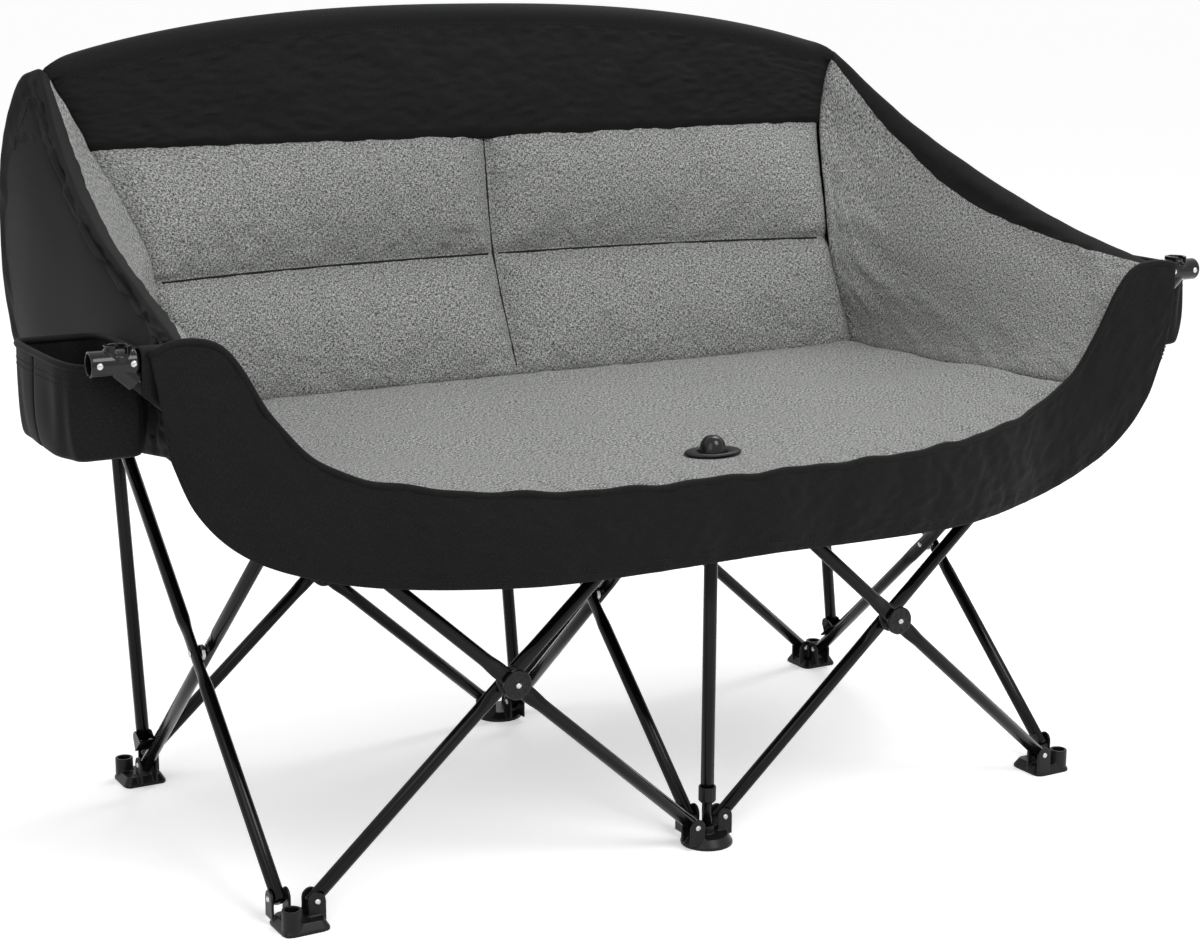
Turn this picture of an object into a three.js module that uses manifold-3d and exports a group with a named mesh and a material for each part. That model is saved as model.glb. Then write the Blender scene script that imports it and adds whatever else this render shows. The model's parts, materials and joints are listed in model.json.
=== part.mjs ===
// Folding camping loveseat: a padded fabric bucket slung on a quad-fold scissor frame of steel tube.
// Millimetres, +Z up, X across the seat, -Y to the front; the origin is on the floor, under the middle.
import * as THREE from 'three';
import { mergeVertices } from 'three/addons/utils/BufferGeometryUtils.js';
import Module from 'manifold-3d';

const wasm = await Module();
wasm.setup();

// Driving dimensions of the frame
const bayWidth = 520;
const bayDepth = 532;
const frameShift = 15;
const footPivotHeight = 28;
const hubPivotHeight = 450;
const pivotInsetAcross = 24;
const pivotInsetDeep = 30;

// Tubes
const tubeDiameter = 16;
const tubeWall = 1;
const tubeSides = 8;
const tubeGap = 0.4;
const tubeEnd = 6;
const pressedThickness = 11;
const pressedWidth = 19;
const pressedLength = 50;
const pressRunOut = 26;
const armReach = 905;

// Rivets and the plastic pieces that they hold
const pinSides = 6;
const rivetDiameter = 5;
const rivetHole = 6.4;
const rivetHeadDiameter = 8.4;
const rivetHeadHeight = 1.6;
const slotClearance = 0.3;
const seatClearance = 0.3;
const earThickness = 3;
const earRadius = 10;
const earSteps = 3;
const roundSides = 12;
const collarSides = 16;
const headSides = 8;

// Feet
const footBaseHeight = 12;
const footLipHeight = 3;
const midFootDiameter = 62;
const midFootTopDiameter = 50;
const cornerFootSize = 54;
const cornerFootOffset = 7;
const cornerFootRadius = 9;
const cornerSocketDiameter = 22;
const cornerSocketBore = 16;
const cornerSocketHeight = 28;
const cornerSocketOffset = 8;

// Hubs, collars, post
const hubCoreDiameter = 22;
const hubDepthBelowPivot = 26;
const hubDomeDiameter = 32;
const domeSeatRise = 13;
const domeRise = 27;
const domeShoulder = 8;
const domeCrown = 2;
const domeNeck = 4;
const domeWall = 6;
const postRodDiameter = 12;
const postTopDrop = 6;
const postCollarEdge = 3;
const postRodTop = 330;
const postTubeBottom = 60;
const postCollarDiameter = 21;
const postCollarHeight = 20;
const postSocketDiameter = 18;
const postSocketHeight = 22;
const collarBoreOffset = 14;
const collarBoreTravel = 13;
const collarWall = 3;
const collarHeight = 28;

// Scissor hub discs and side pivots
const discDiameter = 34;
const discThickness = 5;
const discSides = 14;
const discEdge = 1.2;
const washerDiameter = 16;
const washerThickness = 1.5;
const sideSpacerDiameter = 18;

// Uprights behind the back
const uprightAlong = 40;
const uprightOff = 20;
const uprightEnd = 4;
const uprightSideTop = 868;
const uprightMidTop = 922;
const saddleThickness = 2;
const saddleLength = 26;

// Arm ends
const armBarrelDiameter = 27;
const armBarrelBehind = 22.7;
const armBarrelBeyond = 26.3;
const armBarrelLift = 2;
const armBarrelBore = 20;
const armBarrelBoreDepth = 16;
const armSocketDiameter = 24;
const armSocketLength = 26;
const armRingHeight = 18;
const armRingRecess = 9;
const armRingBore = 19;
const armRingBack = 3.7;
const armSocketCap = 3;
const sleeveBack = 28.7;
const sleeveLength = 28;
const sleeveThickness = 2.2;

// Fabric
const clothGap = 0.6;
const seatHalfWidth = 504;
const seatFrontRise = 19;
const seatRearRise = 37;
const seatSideRise = 10;
const seatPadding = 24;
const seatEdge = 7;
const seatAtHub = 4.2;
const hubPinchAcross = 70;
const hubPinchDeep = 60;
const domeHoleGap = 0.8;
const grommetLength = 70;
const grommetWidth = 50;
const grommetHole = 34;
const grommetThickness = 2.4;
const grommetLift = 2.6;
const grommetEdge = 4;
const cushionAboveSeat = 2;
const lowerChannel = 145;
const upperChannel = 157;
const cushionShoulder = 12;
const cushionBackRounding = 8;
const cushionPadding = 34;
const cushionSeamDepth = 13;
const cushionEdgeDepth = 4;
const bandThickness = 8;
const clothThickness = 5;
const bandHeight = 164;
const bandTurn = 24;
const backCornerDrop = 62;
const backHalfDepth = 500;
const shellHemDrop = 11;
const backSpread = 28;
const wingPadding = 24;
const wingEdge = 8;
const wingRimTurn = 14;
const wingRearBow = 30;
const rimEnd = 600;
const hemEnd = 655;
const rimLift = 3;
const skirtThickness = 4;
const skirtSwell = 5;
const skirtWave = 42;
const pouchWidth = 104;
const pouchLength = 200;
const pouchInner = 645;
const pouchTop = 626;
const pouchBottom = 528;
const pouchWall = 4;
const pouchMouth = 2;
const pouchTuck = 14;
const pouchTuckHeight = 12;
const pouchTuckSide = 4;

// Places that follow from the driving dimensions
const tubeRadius = tubeDiameter / 2;
const layer = (tubeDiameter + tubeGap) / 2;
const frontRow = -bayDepth / 2 + frameShift;
const rearRow = bayDepth / 2 + frameShift;
const scissorSpan = bayWidth - 2 * pivotInsetAcross;
const sideSpan = bayDepth - 2 * pivotInsetDeep;
const scissorRise = hubPivotHeight - footPivotHeight;
const sideAngle = Math.atan2(scissorRise, sideSpan);
const crossingHeight = (footPivotHeight + hubPivotHeight) / 2;
const inset = { x: pivotInsetAcross, y: pivotInsetDeep };
const columns = { left: -bayWidth, middle: 0, right: bayWidth };
const rows = { front: frontRow, rear: rearRow };
const hubDomeFoot = hubPivotHeight + domeSeatRise;
const hubDomeHeight = hubDomeFoot + domeRise;
const seatFrontHeight = hubPivotHeight + seatFrontRise;
const seatRearHeight = hubPivotHeight + seatRearRise;
const cushionBottom = seatRearHeight + cushionAboveSeat;
const cushionMid = cushionBottom + lowerChannel;
const cushionTop = cushionMid + upperChannel;
const backTop = cushionTop + bandHeight;
const backShellHem = cushionBottom - shellHemDrop;

const blackPaint = new THREE.MeshStandardMaterial({ color: 0x17181a, roughness: 0.35, metalness: 0.4 });
const blackPlastic = new THREE.MeshStandardMaterial({ color: 0x1a1a1c, roughness: 0.5, metalness: 0 });
const glossPlastic = new THREE.MeshStandardMaterial({ color: 0x121214, roughness: 0.2, metalness: 0 });
const brightSteel = new THREE.MeshStandardMaterial({ color: 0xb9bbbd, roughness: 0.3, metalness: 1 });
const blackCloth = new THREE.MeshStandardMaterial({ color: 0x1e1e20, roughness: 0.9, metalness: 0 });
const greyCloth = new THREE.MeshStandardMaterial({ color: 0x80827e, roughness: 0.95, metalness: 0 });

const loveseat = new THREE.Group();

function place(name, geometry, material, position = [0, 0, 0]) {
  const mesh = new THREE.Mesh(geometry, material);
  mesh.name = name;
  mesh.position.set(...position);
  loveseat.add(mesh);
}

// Solids: three.js geometry in, manifold joins and cuts, three.js geometry out
function solid(geometry) {
  const bare = geometry.index ? geometry.clone() : geometry;
  bare.deleteAttribute('normal');
  bare.deleteAttribute('uv');
  const merged = mergeVertices(bare, 1e-4);
  return new wasm.Manifold(new wasm.Mesh({
    numProp: 3,
    vertProperties: new Float32Array(merged.attributes.position.array),
    triVerts: new Uint32Array(merged.index.array),
  }));
}

function join(solids) {
  return solids.reduce((whole, piece) => whole.add(piece));
}

function cut(whole, tools) {
  return tools.reduce((rest, tool) => rest.subtract(tool), whole);
}

function toGeometry(manifold) {
  const mesh = manifold.getMesh();
  const geometry = new THREE.BufferGeometry();
  geometry.setAttribute('position', new THREE.BufferAttribute(mesh.vertProperties, 3));
  geometry.setIndex(new THREE.BufferAttribute(mesh.triVerts, 1));
  return geometry;
}

function vector(x, y, z) {
  return new THREE.Vector3(x, y, z);
}

// A round bar between two points, with the given number of flats
function bar(diameter, from, to, sides = roundSides, endDiameter = diameter) {
  const along = to.clone().sub(from);
  const geometry = new THREE.CylinderGeometry(endDiameter / 2, diameter / 2, along.length(), sides);
  const turn = new THREE.Quaternion().setFromUnitVectors(vector(0, 1, 0), along.clone().normalize());
  geometry.applyQuaternion(turn);
  const middle = from.clone().add(to).multiplyScalar(0.5);
  return solid(geometry.translate(middle.x, middle.y, middle.z));
}

function block(low, high) {
  const size = high.clone().sub(low);
  const middle = low.clone().add(high).multiplyScalar(0.5);
  return solid(new THREE.BoxGeometry(size.x, size.y, size.z).translate(middle.x, middle.y, middle.z));
}

// A turned piece about a vertical axis; the profile runs from the axis back to the axis
function turned(profile, sides = 24) {
  const points = profile.map(([radius, height]) => new THREE.Vector2(radius, height));
  return solid(new THREE.LatheGeometry(points, sides).rotateX(Math.PI / 2));
}

// A closed mesh from triangles that may face in: the sign of its volume tells
function closedMesh(points, triangles) {
  let volume = 0;
  const normal = new THREE.Vector3();
  for (const [a, b, c] of triangles) {
    volume += points[a].dot(normal.crossVectors(points[b], points[c]));
  }
  const facing = volume > 0 ? triangles : triangles.map(([a, b, c]) => [a, c, b]);
  const geometry = new THREE.BufferGeometry();
  const flat = points.flatMap((point) => [point.x, point.y, point.z]);
  geometry.setAttribute('position', new THREE.Float32BufferAttribute(flat, 3));
  geometry.setIndex(facing.flat());
  return geometry;
}

// Rings of points joined one to the next and the last to the first: a hollow, open-ended tube
function ringLoop(rings) {
  const count = rings[0].length;
  const triangles = [];
  rings.forEach((ring, r) => {
    const next = ((r + 1) % rings.length) * count;
    ring.forEach((point, k) => {
      const side = (k + 1) % count;
      triangles.push([r * count + k, r * count + side, next + side]);
      triangles.push([r * count + k, next + side, next + k]);
    });
  });
  return closedMesh(rings.flat(), triangles);
}

// Rings joined in a row, with both ends closed by a fan about their middle
function cappedRings(rings) {
  const count = rings[0].length;
  const points = rings.flat();
  const triangles = [];
  for (let r = 0; r + 1 < rings.length; r += 1) {
    for (let k = 0; k < count; k += 1) {
      const side = (k + 1) % count;
      triangles.push([r * count + k, r * count + side, (r + 1) * count + side]);
      triangles.push([r * count + k, (r + 1) * count + side, (r + 1) * count + k]);
    }
  }
  for (const [r, flip] of [[0, true], [rings.length - 1, false]]) {
    const middle = rings[r].reduce((sum, point) => sum.add(point), vector(0, 0, 0)).divideScalar(count);
    points.push(middle);
    for (let k = 0; k < count; k += 1) {
      const edge = [r * count + k, r * count + ((k + 1) % count)];
      triangles.push(flip ? [edge[1], edge[0], points.length - 1] : [edge[0], edge[1], points.length - 1]);
    }
  }
  return closedMesh(points, triangles);
}

// A padded or plain cloth: a face and a back over the same grid, closed along its four edges
function cloth(acrossSteps, alongSteps, face, back) {
  const points = [];
  const at = (side, i, j) => side * (acrossSteps + 1) * (alongSteps + 1) + i * (alongSteps + 1) + j;
  for (const surface of [face, back]) {
    for (let i = 0; i <= acrossSteps; i += 1) {
      for (let j = 0; j <= alongSteps; j += 1) {
        points.push(surface(i / acrossSteps, j / alongSteps));
      }
    }
  }
  const triangles = [];
  const quad = (a, b, c, d) => triangles.push([a, b, c], [a, c, d]);
  for (let i = 0; i < acrossSteps; i += 1) {
    for (let j = 0; j < alongSteps; j += 1) {
      quad(at(0, i, j), at(0, i + 1, j), at(0, i + 1, j + 1), at(0, i, j + 1));
      quad(at(1, i, j), at(1, i, j + 1), at(1, i + 1, j + 1), at(1, i + 1, j));
    }
  }
  for (let i = 0; i < acrossSteps; i += 1) {
    quad(at(0, i + 1, 0), at(0, i, 0), at(1, i, 0), at(1, i + 1, 0));
    quad(at(0, i, alongSteps), at(0, i + 1, alongSteps), at(1, i + 1, alongSteps), at(1, i, alongSteps));
  }
  for (let j = 0; j < alongSteps; j += 1) {
    quad(at(0, 0, j), at(0, 0, j + 1), at(1, 0, j + 1), at(1, 0, j));
    quad(at(0, acrossSteps, j + 1), at(0, acrossSteps, j), at(1, acrossSteps, j), at(1, acrossSteps, j + 1));
  }
  return closedMesh(points, triangles);
}

// Tubes: round and hollow, pressed flat where two of them cross, cross-drilled for their rivets
function tubeRing(centre, normal, wide, halfThick, halfWide) {
  const ring = [];
  const reach = 1 / Math.cos(Math.PI / tubeSides);
  for (let k = 0; k < tubeSides; k += 1) {
    const angle = ((k + 0.5) * 2 * Math.PI) / tubeSides;
    const offset = normal.clone().multiplyScalar(halfThick * reach * Math.sin(angle));
    ring.push(offset.addScaledVector(wide, halfWide * reach * Math.cos(angle)).add(centre));
  }
  return ring;
}

function tube(from, to, normal, crossing, pivots) {
  const along = to.clone().sub(from).normalize();
  const wide = along.clone().cross(normal);
  const stations = [{ at: from, press: 0 }];
  if (crossing) {
    for (const [offset, press] of [
      [-pressedLength / 2 - pressRunOut, 0],
      [-pressedLength / 2, 1],
      [pressedLength / 2, 1],
      [pressedLength / 2 + pressRunOut, 0],
    ]) {
      stations.push({ at: crossing.clone().addScaledVector(along, offset), press });
    }
  }
  stations.push({ at: to, press: 0 });
  const ringAt = ({ at, press }, skin) => {
    const halfThick = THREE.MathUtils.lerp(tubeRadius, pressedThickness / 2, press) - skin;
    const halfWide = THREE.MathUtils.lerp(tubeRadius, pressedWidth / 2, press) - skin;
    return tubeRing(at, normal, wide, halfThick, halfWide);
  };
  const outside = stations.map((station) => ringAt(station, 0));
  const inside = stations.map((station) => ringAt(station, tubeWall)).reverse();
  const drills = pivots.map((pivot) => {
    const reach = normal.clone().multiplyScalar(tubeDiameter);
    return bar(rivetHole, pivot.clone().sub(reach), pivot.clone().add(reach), pinSides);
  });
  return toGeometry(cut(solid(ringLoop([...outside, ...inside])), drills));
}

// Scissor tubes run from a foot pivot to the hub pivot of the next column or row
function scissorTube(name, from, to, normal, reachBeyond = tubeEnd) {
  const along = to.clone().sub(from).normalize();
  const start = from.clone().addScaledVector(along, -tubeEnd);
  const end = to.clone().addScaledVector(along, reachBeyond);
  const crossing = from.clone().add(to).multiplyScalar(0.5);
  place(name, tube(start, end, normal, crossing, [from, crossing, to]), blackPaint);
}

const acrossNormal = vector(0, 1, 0);
const deepNormal = vector(1, 0, 0);
const scissorLength = Math.hypot(scissorSpan, scissorRise);
const armBeyond = armReach - scissorLength;

function acrossTube(name, row, footColumn, hubColumn, side, reachBeyond) {
  const toward = Math.sign(hubColumn - footColumn);
  const y = row + side * layer;
  const from = vector(footColumn + toward * pivotInsetAcross, y, footPivotHeight);
  const to = vector(hubColumn - toward * pivotInsetAcross, y, hubPivotHeight);
  scissorTube(name, from, to, acrossNormal, reachBeyond);
}

function deepTube(name, column, footRow, hubRow, side) {
  const toward = Math.sign(hubRow - footRow);
  const x = column + side * layer;
  const from = vector(x, footRow + toward * pivotInsetDeep, footPivotHeight);
  const to = vector(x, hubRow - toward * pivotInsetDeep, hubPivotHeight);
  scissorTube(name, from, to, deepNormal);
}

acrossTube('front_left_leg_tube', frontRow, columns.left, columns.middle, 1);
acrossTube('left_arm_tube', frontRow, columns.middle, columns.left, -1, armBeyond);
acrossTube('right_arm_tube', frontRow, columns.middle, columns.right, 1, armBeyond);
acrossTube('front_right_leg_tube', frontRow, columns.right, columns.middle, -1);
acrossTube('rear_left_leg_tube', rearRow, columns.left, columns.middle, 1);
acrossTube('rear_left_inner_tube', rearRow, columns.middle, columns.left, -1);
acrossTube('rear_right_inner_tube', rearRow, columns.middle, columns.right, 1);
acrossTube('rear_right_leg_tube', rearRow, columns.right, columns.middle, -1);

// The tube that rises to the back lies outside on the end columns, and to the left on the middle one
const outerSide = { left: -1, middle: -1, right: 1 };
for (const [column, side] of Object.entries(outerSide)) {
  deepTube(`${column}_side_tube_to_back`, columns[column], frontRow, rearRow, side);
  deepTube(`${column}_side_tube_to_front`, columns[column], rearRow, frontRow, -side);
}

// Clevises: two ears and a rivet round a tube end, in a foot, a hub or a bracket
function slab(outline, depth, curveSegments) {
  return new THREE.ExtrudeGeometry(outline, { depth, bevelEnabled: false, curveSegments });
}

function plate(along, outline, low, high) {
  const geometry = slab(outline, high - low, earSteps);
  const basis = new THREE.Matrix4();
  if (along === 'x') {
    basis.makeBasis(vector(1, 0, 0), vector(0, 0, 1), vector(0, -1, 0)).setPosition(0, high, 0);
  } else {
    basis.makeBasis(vector(0, 1, 0), vector(0, 0, 1), vector(1, 0, 0)).setPosition(low, 0, 0);
  }
  return solid(geometry.applyMatrix4(basis));
}

function standingEar(pivot, height, bottom) {
  const outline = new THREE.Shape();
  outline.moveTo(pivot - earRadius, bottom);
  outline.lineTo(pivot + earRadius, bottom);
  outline.absarc(pivot, height, earRadius, 0, Math.PI, false);
  return outline;
}

function lyingEar(pivot, height, backEdge) {
  const outward = Math.sign(pivot);
  const turn = (-outward * Math.PI) / 2;
  const outline = new THREE.Shape();
  outline.moveTo(backEdge, height - outward * earRadius);
  outline.absarc(pivot, height, earRadius, turn, turn + Math.PI, false);
  outline.lineTo(backEdge, height + outward * earRadius);
  return outline;
}

function across(along, pivot, offset, height) {
  return along === 'x' ? vector(pivot, offset, height) : vector(offset, pivot, height);
}

function rivet(along, pivot, height, low, high) {
  const sunk = earThickness / 2;
  const from = across(along, pivot, low + sunk, height);
  return bar(rivetDiameter, from, across(along, pivot, high - sunk, height), pinSides);
}

function slotFaces(slot) {
  const middle = slot.layer * layer;
  const gap = tubeRadius + slotClearance;
  return [[middle - gap - earThickness, middle - gap], [middle + gap, middle + gap + earThickness]];
}

function clevis(slot, height, earOutline) {
  const pivot = slot.toward * inset[slot.along];
  const faces = slotFaces(slot);
  const ears = faces.map(([low, high]) => {
    const isOuter = Math.abs(low + high) > tubeDiameter;
    return plate(slot.along, earOutline(pivot, isOuter), low, high);
  });
  return join([...ears, rivet(slot.along, pivot, height, faces[0][0], faces[1][1])]);
}

// Feet: a flared base with a clevis for each tube that starts there
function footClevis(slot) {
  return clevis(slot, footPivotHeight, (pivot) => standingEar(pivot, footPivotHeight, footBaseHeight / 2));
}

function midFootBase(withPostSocket) {
  const base = turned([
    [0, 0],
    [midFootDiameter / 2, 0],
    [midFootDiameter / 2, footLipHeight],
    [midFootTopDiameter / 2, footBaseHeight],
    [0, footBaseHeight],
  ], roundSides);
  if (!withPostSocket) {
    return base;
  }
  const boss = bar(postSocketDiameter, vector(0, 0, footLipHeight), vector(0, 0, postSocketHeight));
  const bore = postRodDiameter + 2 * seatClearance;
  const drill = bar(bore, vector(0, 0, footBaseHeight / 2), vector(0, 0, hubPivotHeight));
  return cut(join([base, boss]), [drill]);
}

function cornerFootBase(towardX, towardY) {
  const half = cornerFootSize / 2;
  const outline = new THREE.Shape();
  const corners = [[1, 1, 0], [-1, 1, 1], [-1, -1, 2], [1, -1, 3]];
  for (const [sx, sy, quarter] of corners) {
    const cx = sx * (half - cornerFootRadius);
    const cy = sy * (half - cornerFootRadius);
    outline.absarc(cx, cy, cornerFootRadius, (quarter * Math.PI) / 2, ((quarter + 1) * Math.PI) / 2, false);
  }
  const bevel = footBaseHeight - footLipHeight;
  const geometry = slab(outline, footLipHeight, 2);
  const upper = slab(outline, bevel + 1, 2);
  upper.scale(midFootTopDiameter / midFootDiameter, midFootTopDiameter / midFootDiameter, 1);
  upper.translate(0, 0, footLipHeight - 1);
  const shift = [towardX * cornerFootOffset, towardY * cornerFootOffset, 0];
  const socketAt = vector(-towardX * cornerSocketOffset, -towardY * cornerSocketOffset, 0);
  const up = (height) => socketAt.clone().setZ(height);
  const socket = bar(cornerSocketDiameter, up(footLipHeight / 2), up(cornerSocketHeight), roundSides);
  const bore = bar(cornerSocketBore, up(footLipHeight), up(cornerSocketHeight * 2), 10);
  const body = join([solid(geometry.translate(...shift)), solid(upper.translate(...shift)), socket]);
  return cut(body, [bore]);
}

const columnSlots = {
  front: {
    left: { across: [[1, 1]], deep: -1 },
    middle: { across: [[-1, -1], [1, 1]], deep: -1 },
    right: { across: [[-1, -1]], deep: 1 },
  },
  rear: {
    left: { across: [[1, 1]], deep: 1 },
    middle: { across: [[-1, -1], [1, 1]], deep: 1 },
    right: { across: [[-1, -1]], deep: -1 },
  },
};

for (const [row, byColumn] of Object.entries(columnSlots)) {
  const towardY = row === 'front' ? 1 : -1;
  for (const [column, tubes] of Object.entries(byColumn)) {
    const towardX = -Math.sign(columns[column]);
    const slots = tubes.across.map(([toward, side]) => ({ along: 'x', toward, layer: side }));
    slots.push({ along: 'y', toward: towardY, layer: tubes.deep });
    const base = column === 'middle' ? midFootBase(row === 'front') : cornerFootBase(towardX, towardY);
    const foot = join([base, ...slots.map(footClevis)]);
    place(`${row}_${column}_foot`, toGeometry(foot), blackPlastic, [columns[column], rows[row], 0]);
  }
}

// Front centre post: a rod fixed in the foot slides inside a tube that hangs from the top hub
const postTop = hubPivotHeight - postTopDrop;
const postMiddle = (height) => vector(columns.middle, frontRow, height);
const rodSeat = footBaseHeight / 2 + seatClearance;
place('post_rod', toGeometry(bar(postRodDiameter, postMiddle(rodSeat), postMiddle(postRodTop))), blackPaint);

function hollowRound(outer, inner, from, to, sides = roundSides) {
  const normal = vector(0, 1, 0);
  const wide = vector(1, 0, 0);
  const circle = (height, diameter) => {
    const ring = [];
    for (let k = 0; k < sides; k += 1) {
      const angle = (k * 2 * Math.PI) / sides;
      const across = wide.clone().multiplyScalar((diameter / 2) * Math.cos(angle));
      ring.push(across.addScaledVector(normal, (diameter / 2) * Math.sin(angle)).setZ(height));
    }
    return ring;
  };
  return ringLoop([circle(from, outer), circle(to, outer), circle(to, inner), circle(from, inner)]);
}

const postBore = tubeDiameter - 2 * tubeWall;
place('post_tube', hollowRound(tubeDiameter, postBore, postTubeBottom, postTop), blackPaint, [0, frontRow, 0]);
const collarBottom = postTubeBottom - postCollarHeight / 2;
const collarStep = postTubeBottom - seatClearance;
const upPost = (height) => vector(0, 0, height);
const collarShoulder = collarBottom + postCollarEdge;
const postCollar = cut(
  join([
    bar(postCollarDiameter, upPost(collarShoulder), upPost(collarBottom + postCollarHeight), collarSides),
    bar(tubeDiameter, upPost(collarBottom), upPost(collarShoulder + 0.01), collarSides, postCollarDiameter),
  ]),
  [
    bar(postBore, upPost(0), upPost(collarStep + 1), collarSides),
    bar(tubeDiameter + 2 * seatClearance, upPost(collarStep), upPost(hubPivotHeight), collarSides),
  ],
);
place('post_collar', toGeometry(postCollar), blackPlastic, [0, frontRow, 0]);

// Top hubs: lying ears round the tube tops, all grown from one core on the column
const outerEdge = slotFaces({ layer: 1 })[1][1];

function hubClevis(slot, backReach) {
  return clevis(slot, hubPivotHeight, (pivot, isOuter) => {
    const back = isOuter ? 0 : -slot.toward * backReach;
    return lyingEar(pivot, hubPivotHeight, back);
  });
}

const hubBottom = hubPivotHeight - hubDepthBelowPivot;
const hubCore = bar(hubCoreDiameter, vector(0, 0, hubBottom), vector(0, 0, hubDomeFoot));
const domeRadius = hubDomeDiameter / 2;
const dome = turned([
  [0, hubDomeFoot - domeNeck],
  [hubCoreDiameter / 2, hubDomeFoot - domeNeck],
  [domeRadius, hubDomeFoot],
  [domeRadius, hubDomeFoot + domeWall],
  [domeRadius * 0.86, hubDomeHeight - domeShoulder],
  [domeRadius * 0.5, hubDomeHeight - domeCrown],
  [0, hubDomeHeight],
], roundSides);
const frontWeb = block(
  vector(-earThickness / 2, -outerEdge, hubPivotHeight - earRadius),
  vector(earThickness / 2, 0, hubPivotHeight + earRadius),
);
const postHole = bar(
  tubeDiameter + 2 * seatClearance,
  vector(0, 0, 0),
  vector(0, 0, postTop + seatClearance),
  roundSides,
);
const topHub = cut(
  join([
    hubCore,
    dome,
    frontWeb,
    hubClevis({ along: 'x', toward: -1, layer: 1 }, hubCoreDiameter / 2),
    hubClevis({ along: 'x', toward: 1, layer: -1 }, hubCoreDiameter / 2),
    hubClevis({ along: 'y', toward: 1, layer: 1 }, hubCoreDiameter / 2),
  ]),
  [postHole],
);
place('front_centre_hub', toGeometry(topHub), blackPlastic, [columns.middle, frontRow, 0]);

// Front brackets: a plate behind the arm tube, riveted to it, with ears for the side tube
function frontBracket(column, side) {
  const outward = Math.sign(columns[column]);
  const pivot = -outward * pivotInsetAcross;
  const rearFace = slotFaces({ layer: side })[1];
  const frontFace = side * layer - tubeRadius;
  const deepSlot = { along: 'y', toward: 1, layer: -outward };
  const deepEars = slotFaces(deepSlot).map(([low, high]) => {
    return plate('y', lyingEar(pivotInsetDeep, hubPivotHeight, rearFace[0]), low, high);
  });
  const farEdge = slotFaces(deepSlot)[outward > 0 ? 1 : 0][outward > 0 ? 1 : 0];
  const pinFaces = slotFaces(deepSlot);
  return join([
    plate('x', lyingEar(pivot, hubPivotHeight, farEdge), rearFace[0], rearFace[1]),
    bar(
      rivetDiameter,
      vector(pivot, frontFace - 1, hubPivotHeight),
      vector(pivot, rearFace[0] + 1, hubPivotHeight),
      pinSides,
    ),
    bar(
      rivetHeadDiameter,
      vector(pivot, frontFace - seatClearance - rivetHeadHeight, hubPivotHeight),
      vector(pivot, frontFace - seatClearance, hubPivotHeight),
      headSides,
    ),
    ...deepEars,
    rivet('y', pivotInsetDeep, hubPivotHeight, pinFaces[0][0], pinFaces[1][1]),
  ]);
}

place('front_left_bracket', toGeometry(frontBracket('left', -1)), blackPlastic, [columns.left, frontRow, 0]);
place('front_right_bracket', toGeometry(frontBracket('right', 1)), blackPlastic, [columns.right, frontRow, 0]);

// The line of an upright: from its hinge, above and behind the side tube, through the rear collar
const sideAlong = vector(0, -Math.cos(sideAngle), Math.sin(sideAngle));
const sideUp = vector(0, Math.sin(sideAngle), Math.cos(sideAngle));
const sideFoot = vector(0, rearRow - pivotInsetDeep, footPivotHeight);
const uprightSeat = sideFoot.clone().addScaledVector(sideAlong, uprightAlong);
const uprightPivot = uprightSeat.clone().addScaledVector(sideUp, uprightOff);
const uprightGuide = vector(0, rearRow + collarBoreOffset, hubPivotHeight);
const uprightLean = uprightGuide.clone().sub(uprightPivot).normalize();
const uprightAt = (height) => {
  return uprightPivot.clone().addScaledVector(uprightLean, (height - uprightPivot.z) / uprightLean.z);
};

// Rear collars: the hub of each rear column, with a long bore in which the upright slides
const collarBore = tubeDiameter / Math.cos(Math.PI / tubeSides) + 4 * seatClearance;
const collarLean = ((uprightLean.y / uprightLean.z) * collarHeight) / 2;

function slotBlock(width, low, high, bottom, top) {
  const outline = new THREE.Shape();
  const radius = width / 2;
  outline.absarc(0, high - radius, radius, 0, Math.PI, false);
  outline.absarc(0, low + radius, radius, Math.PI, 2 * Math.PI, false);
  return solid(slab(outline, top - bottom, 5).translate(0, 0, bottom));
}

function rearCollar(acrossSlots, deepLayer) {
  const backReach = acrossSlots.length > 1 ? hubCoreDiameter / 2 : outerEdge;
  const boreLow = collarBoreOffset - collarBore / 2 - collarLean;
  const boreHigh = collarBoreOffset + collarBore / 2 + collarLean + collarBoreTravel;
  const bottom = hubPivotHeight - collarHeight / 2;
  const top = hubPivotHeight + collarHeight / 2;
  const slots = acrossSlots.map(([toward, side]) => ({ along: 'x', toward, layer: side }));
  slots.push({ along: 'y', toward: -1, layer: deepLayer });
  const body = join([
    slotBlock(collarBore + 2 * collarWall, boreLow - collarWall, boreHigh + collarWall, bottom, top),
    bar(hubCoreDiameter, vector(0, 0, bottom), vector(0, 0, hubPivotHeight + earRadius)),
    ...slots.map((slot) => hubClevis(slot, slot.along === 'x' ? backReach : hubCoreDiameter / 2)),
  ]);
  return cut(body, [slotBlock(collarBore, boreLow, boreHigh, bottom - 1, top + 1)]);
}

const rearCollars = {
  left: [[[1, -1]], -1],
  middle: [[[-1, 1], [1, -1]], -1],
  right: [[[-1, 1]], 1],
};
for (const [column, [acrossSlots, deepLayer]] of Object.entries(rearCollars)) {
  const geometry = toGeometry(rearCollar(acrossSlots, deepLayer));
  place(`rear_${column}_collar`, geometry, blackPlastic, [columns[column], rearRow, 0]);
}

// Scissor hubs: a dimpled disc with the rivet in front, a spacer disc between the pressed tubes
const pressedFace = layer + pressedThickness / 2;
const pressedGap = layer - pressedThickness / 2;
const discBack = -pressedFace - seatClearance;
const discFront = discBack - discThickness;

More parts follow.
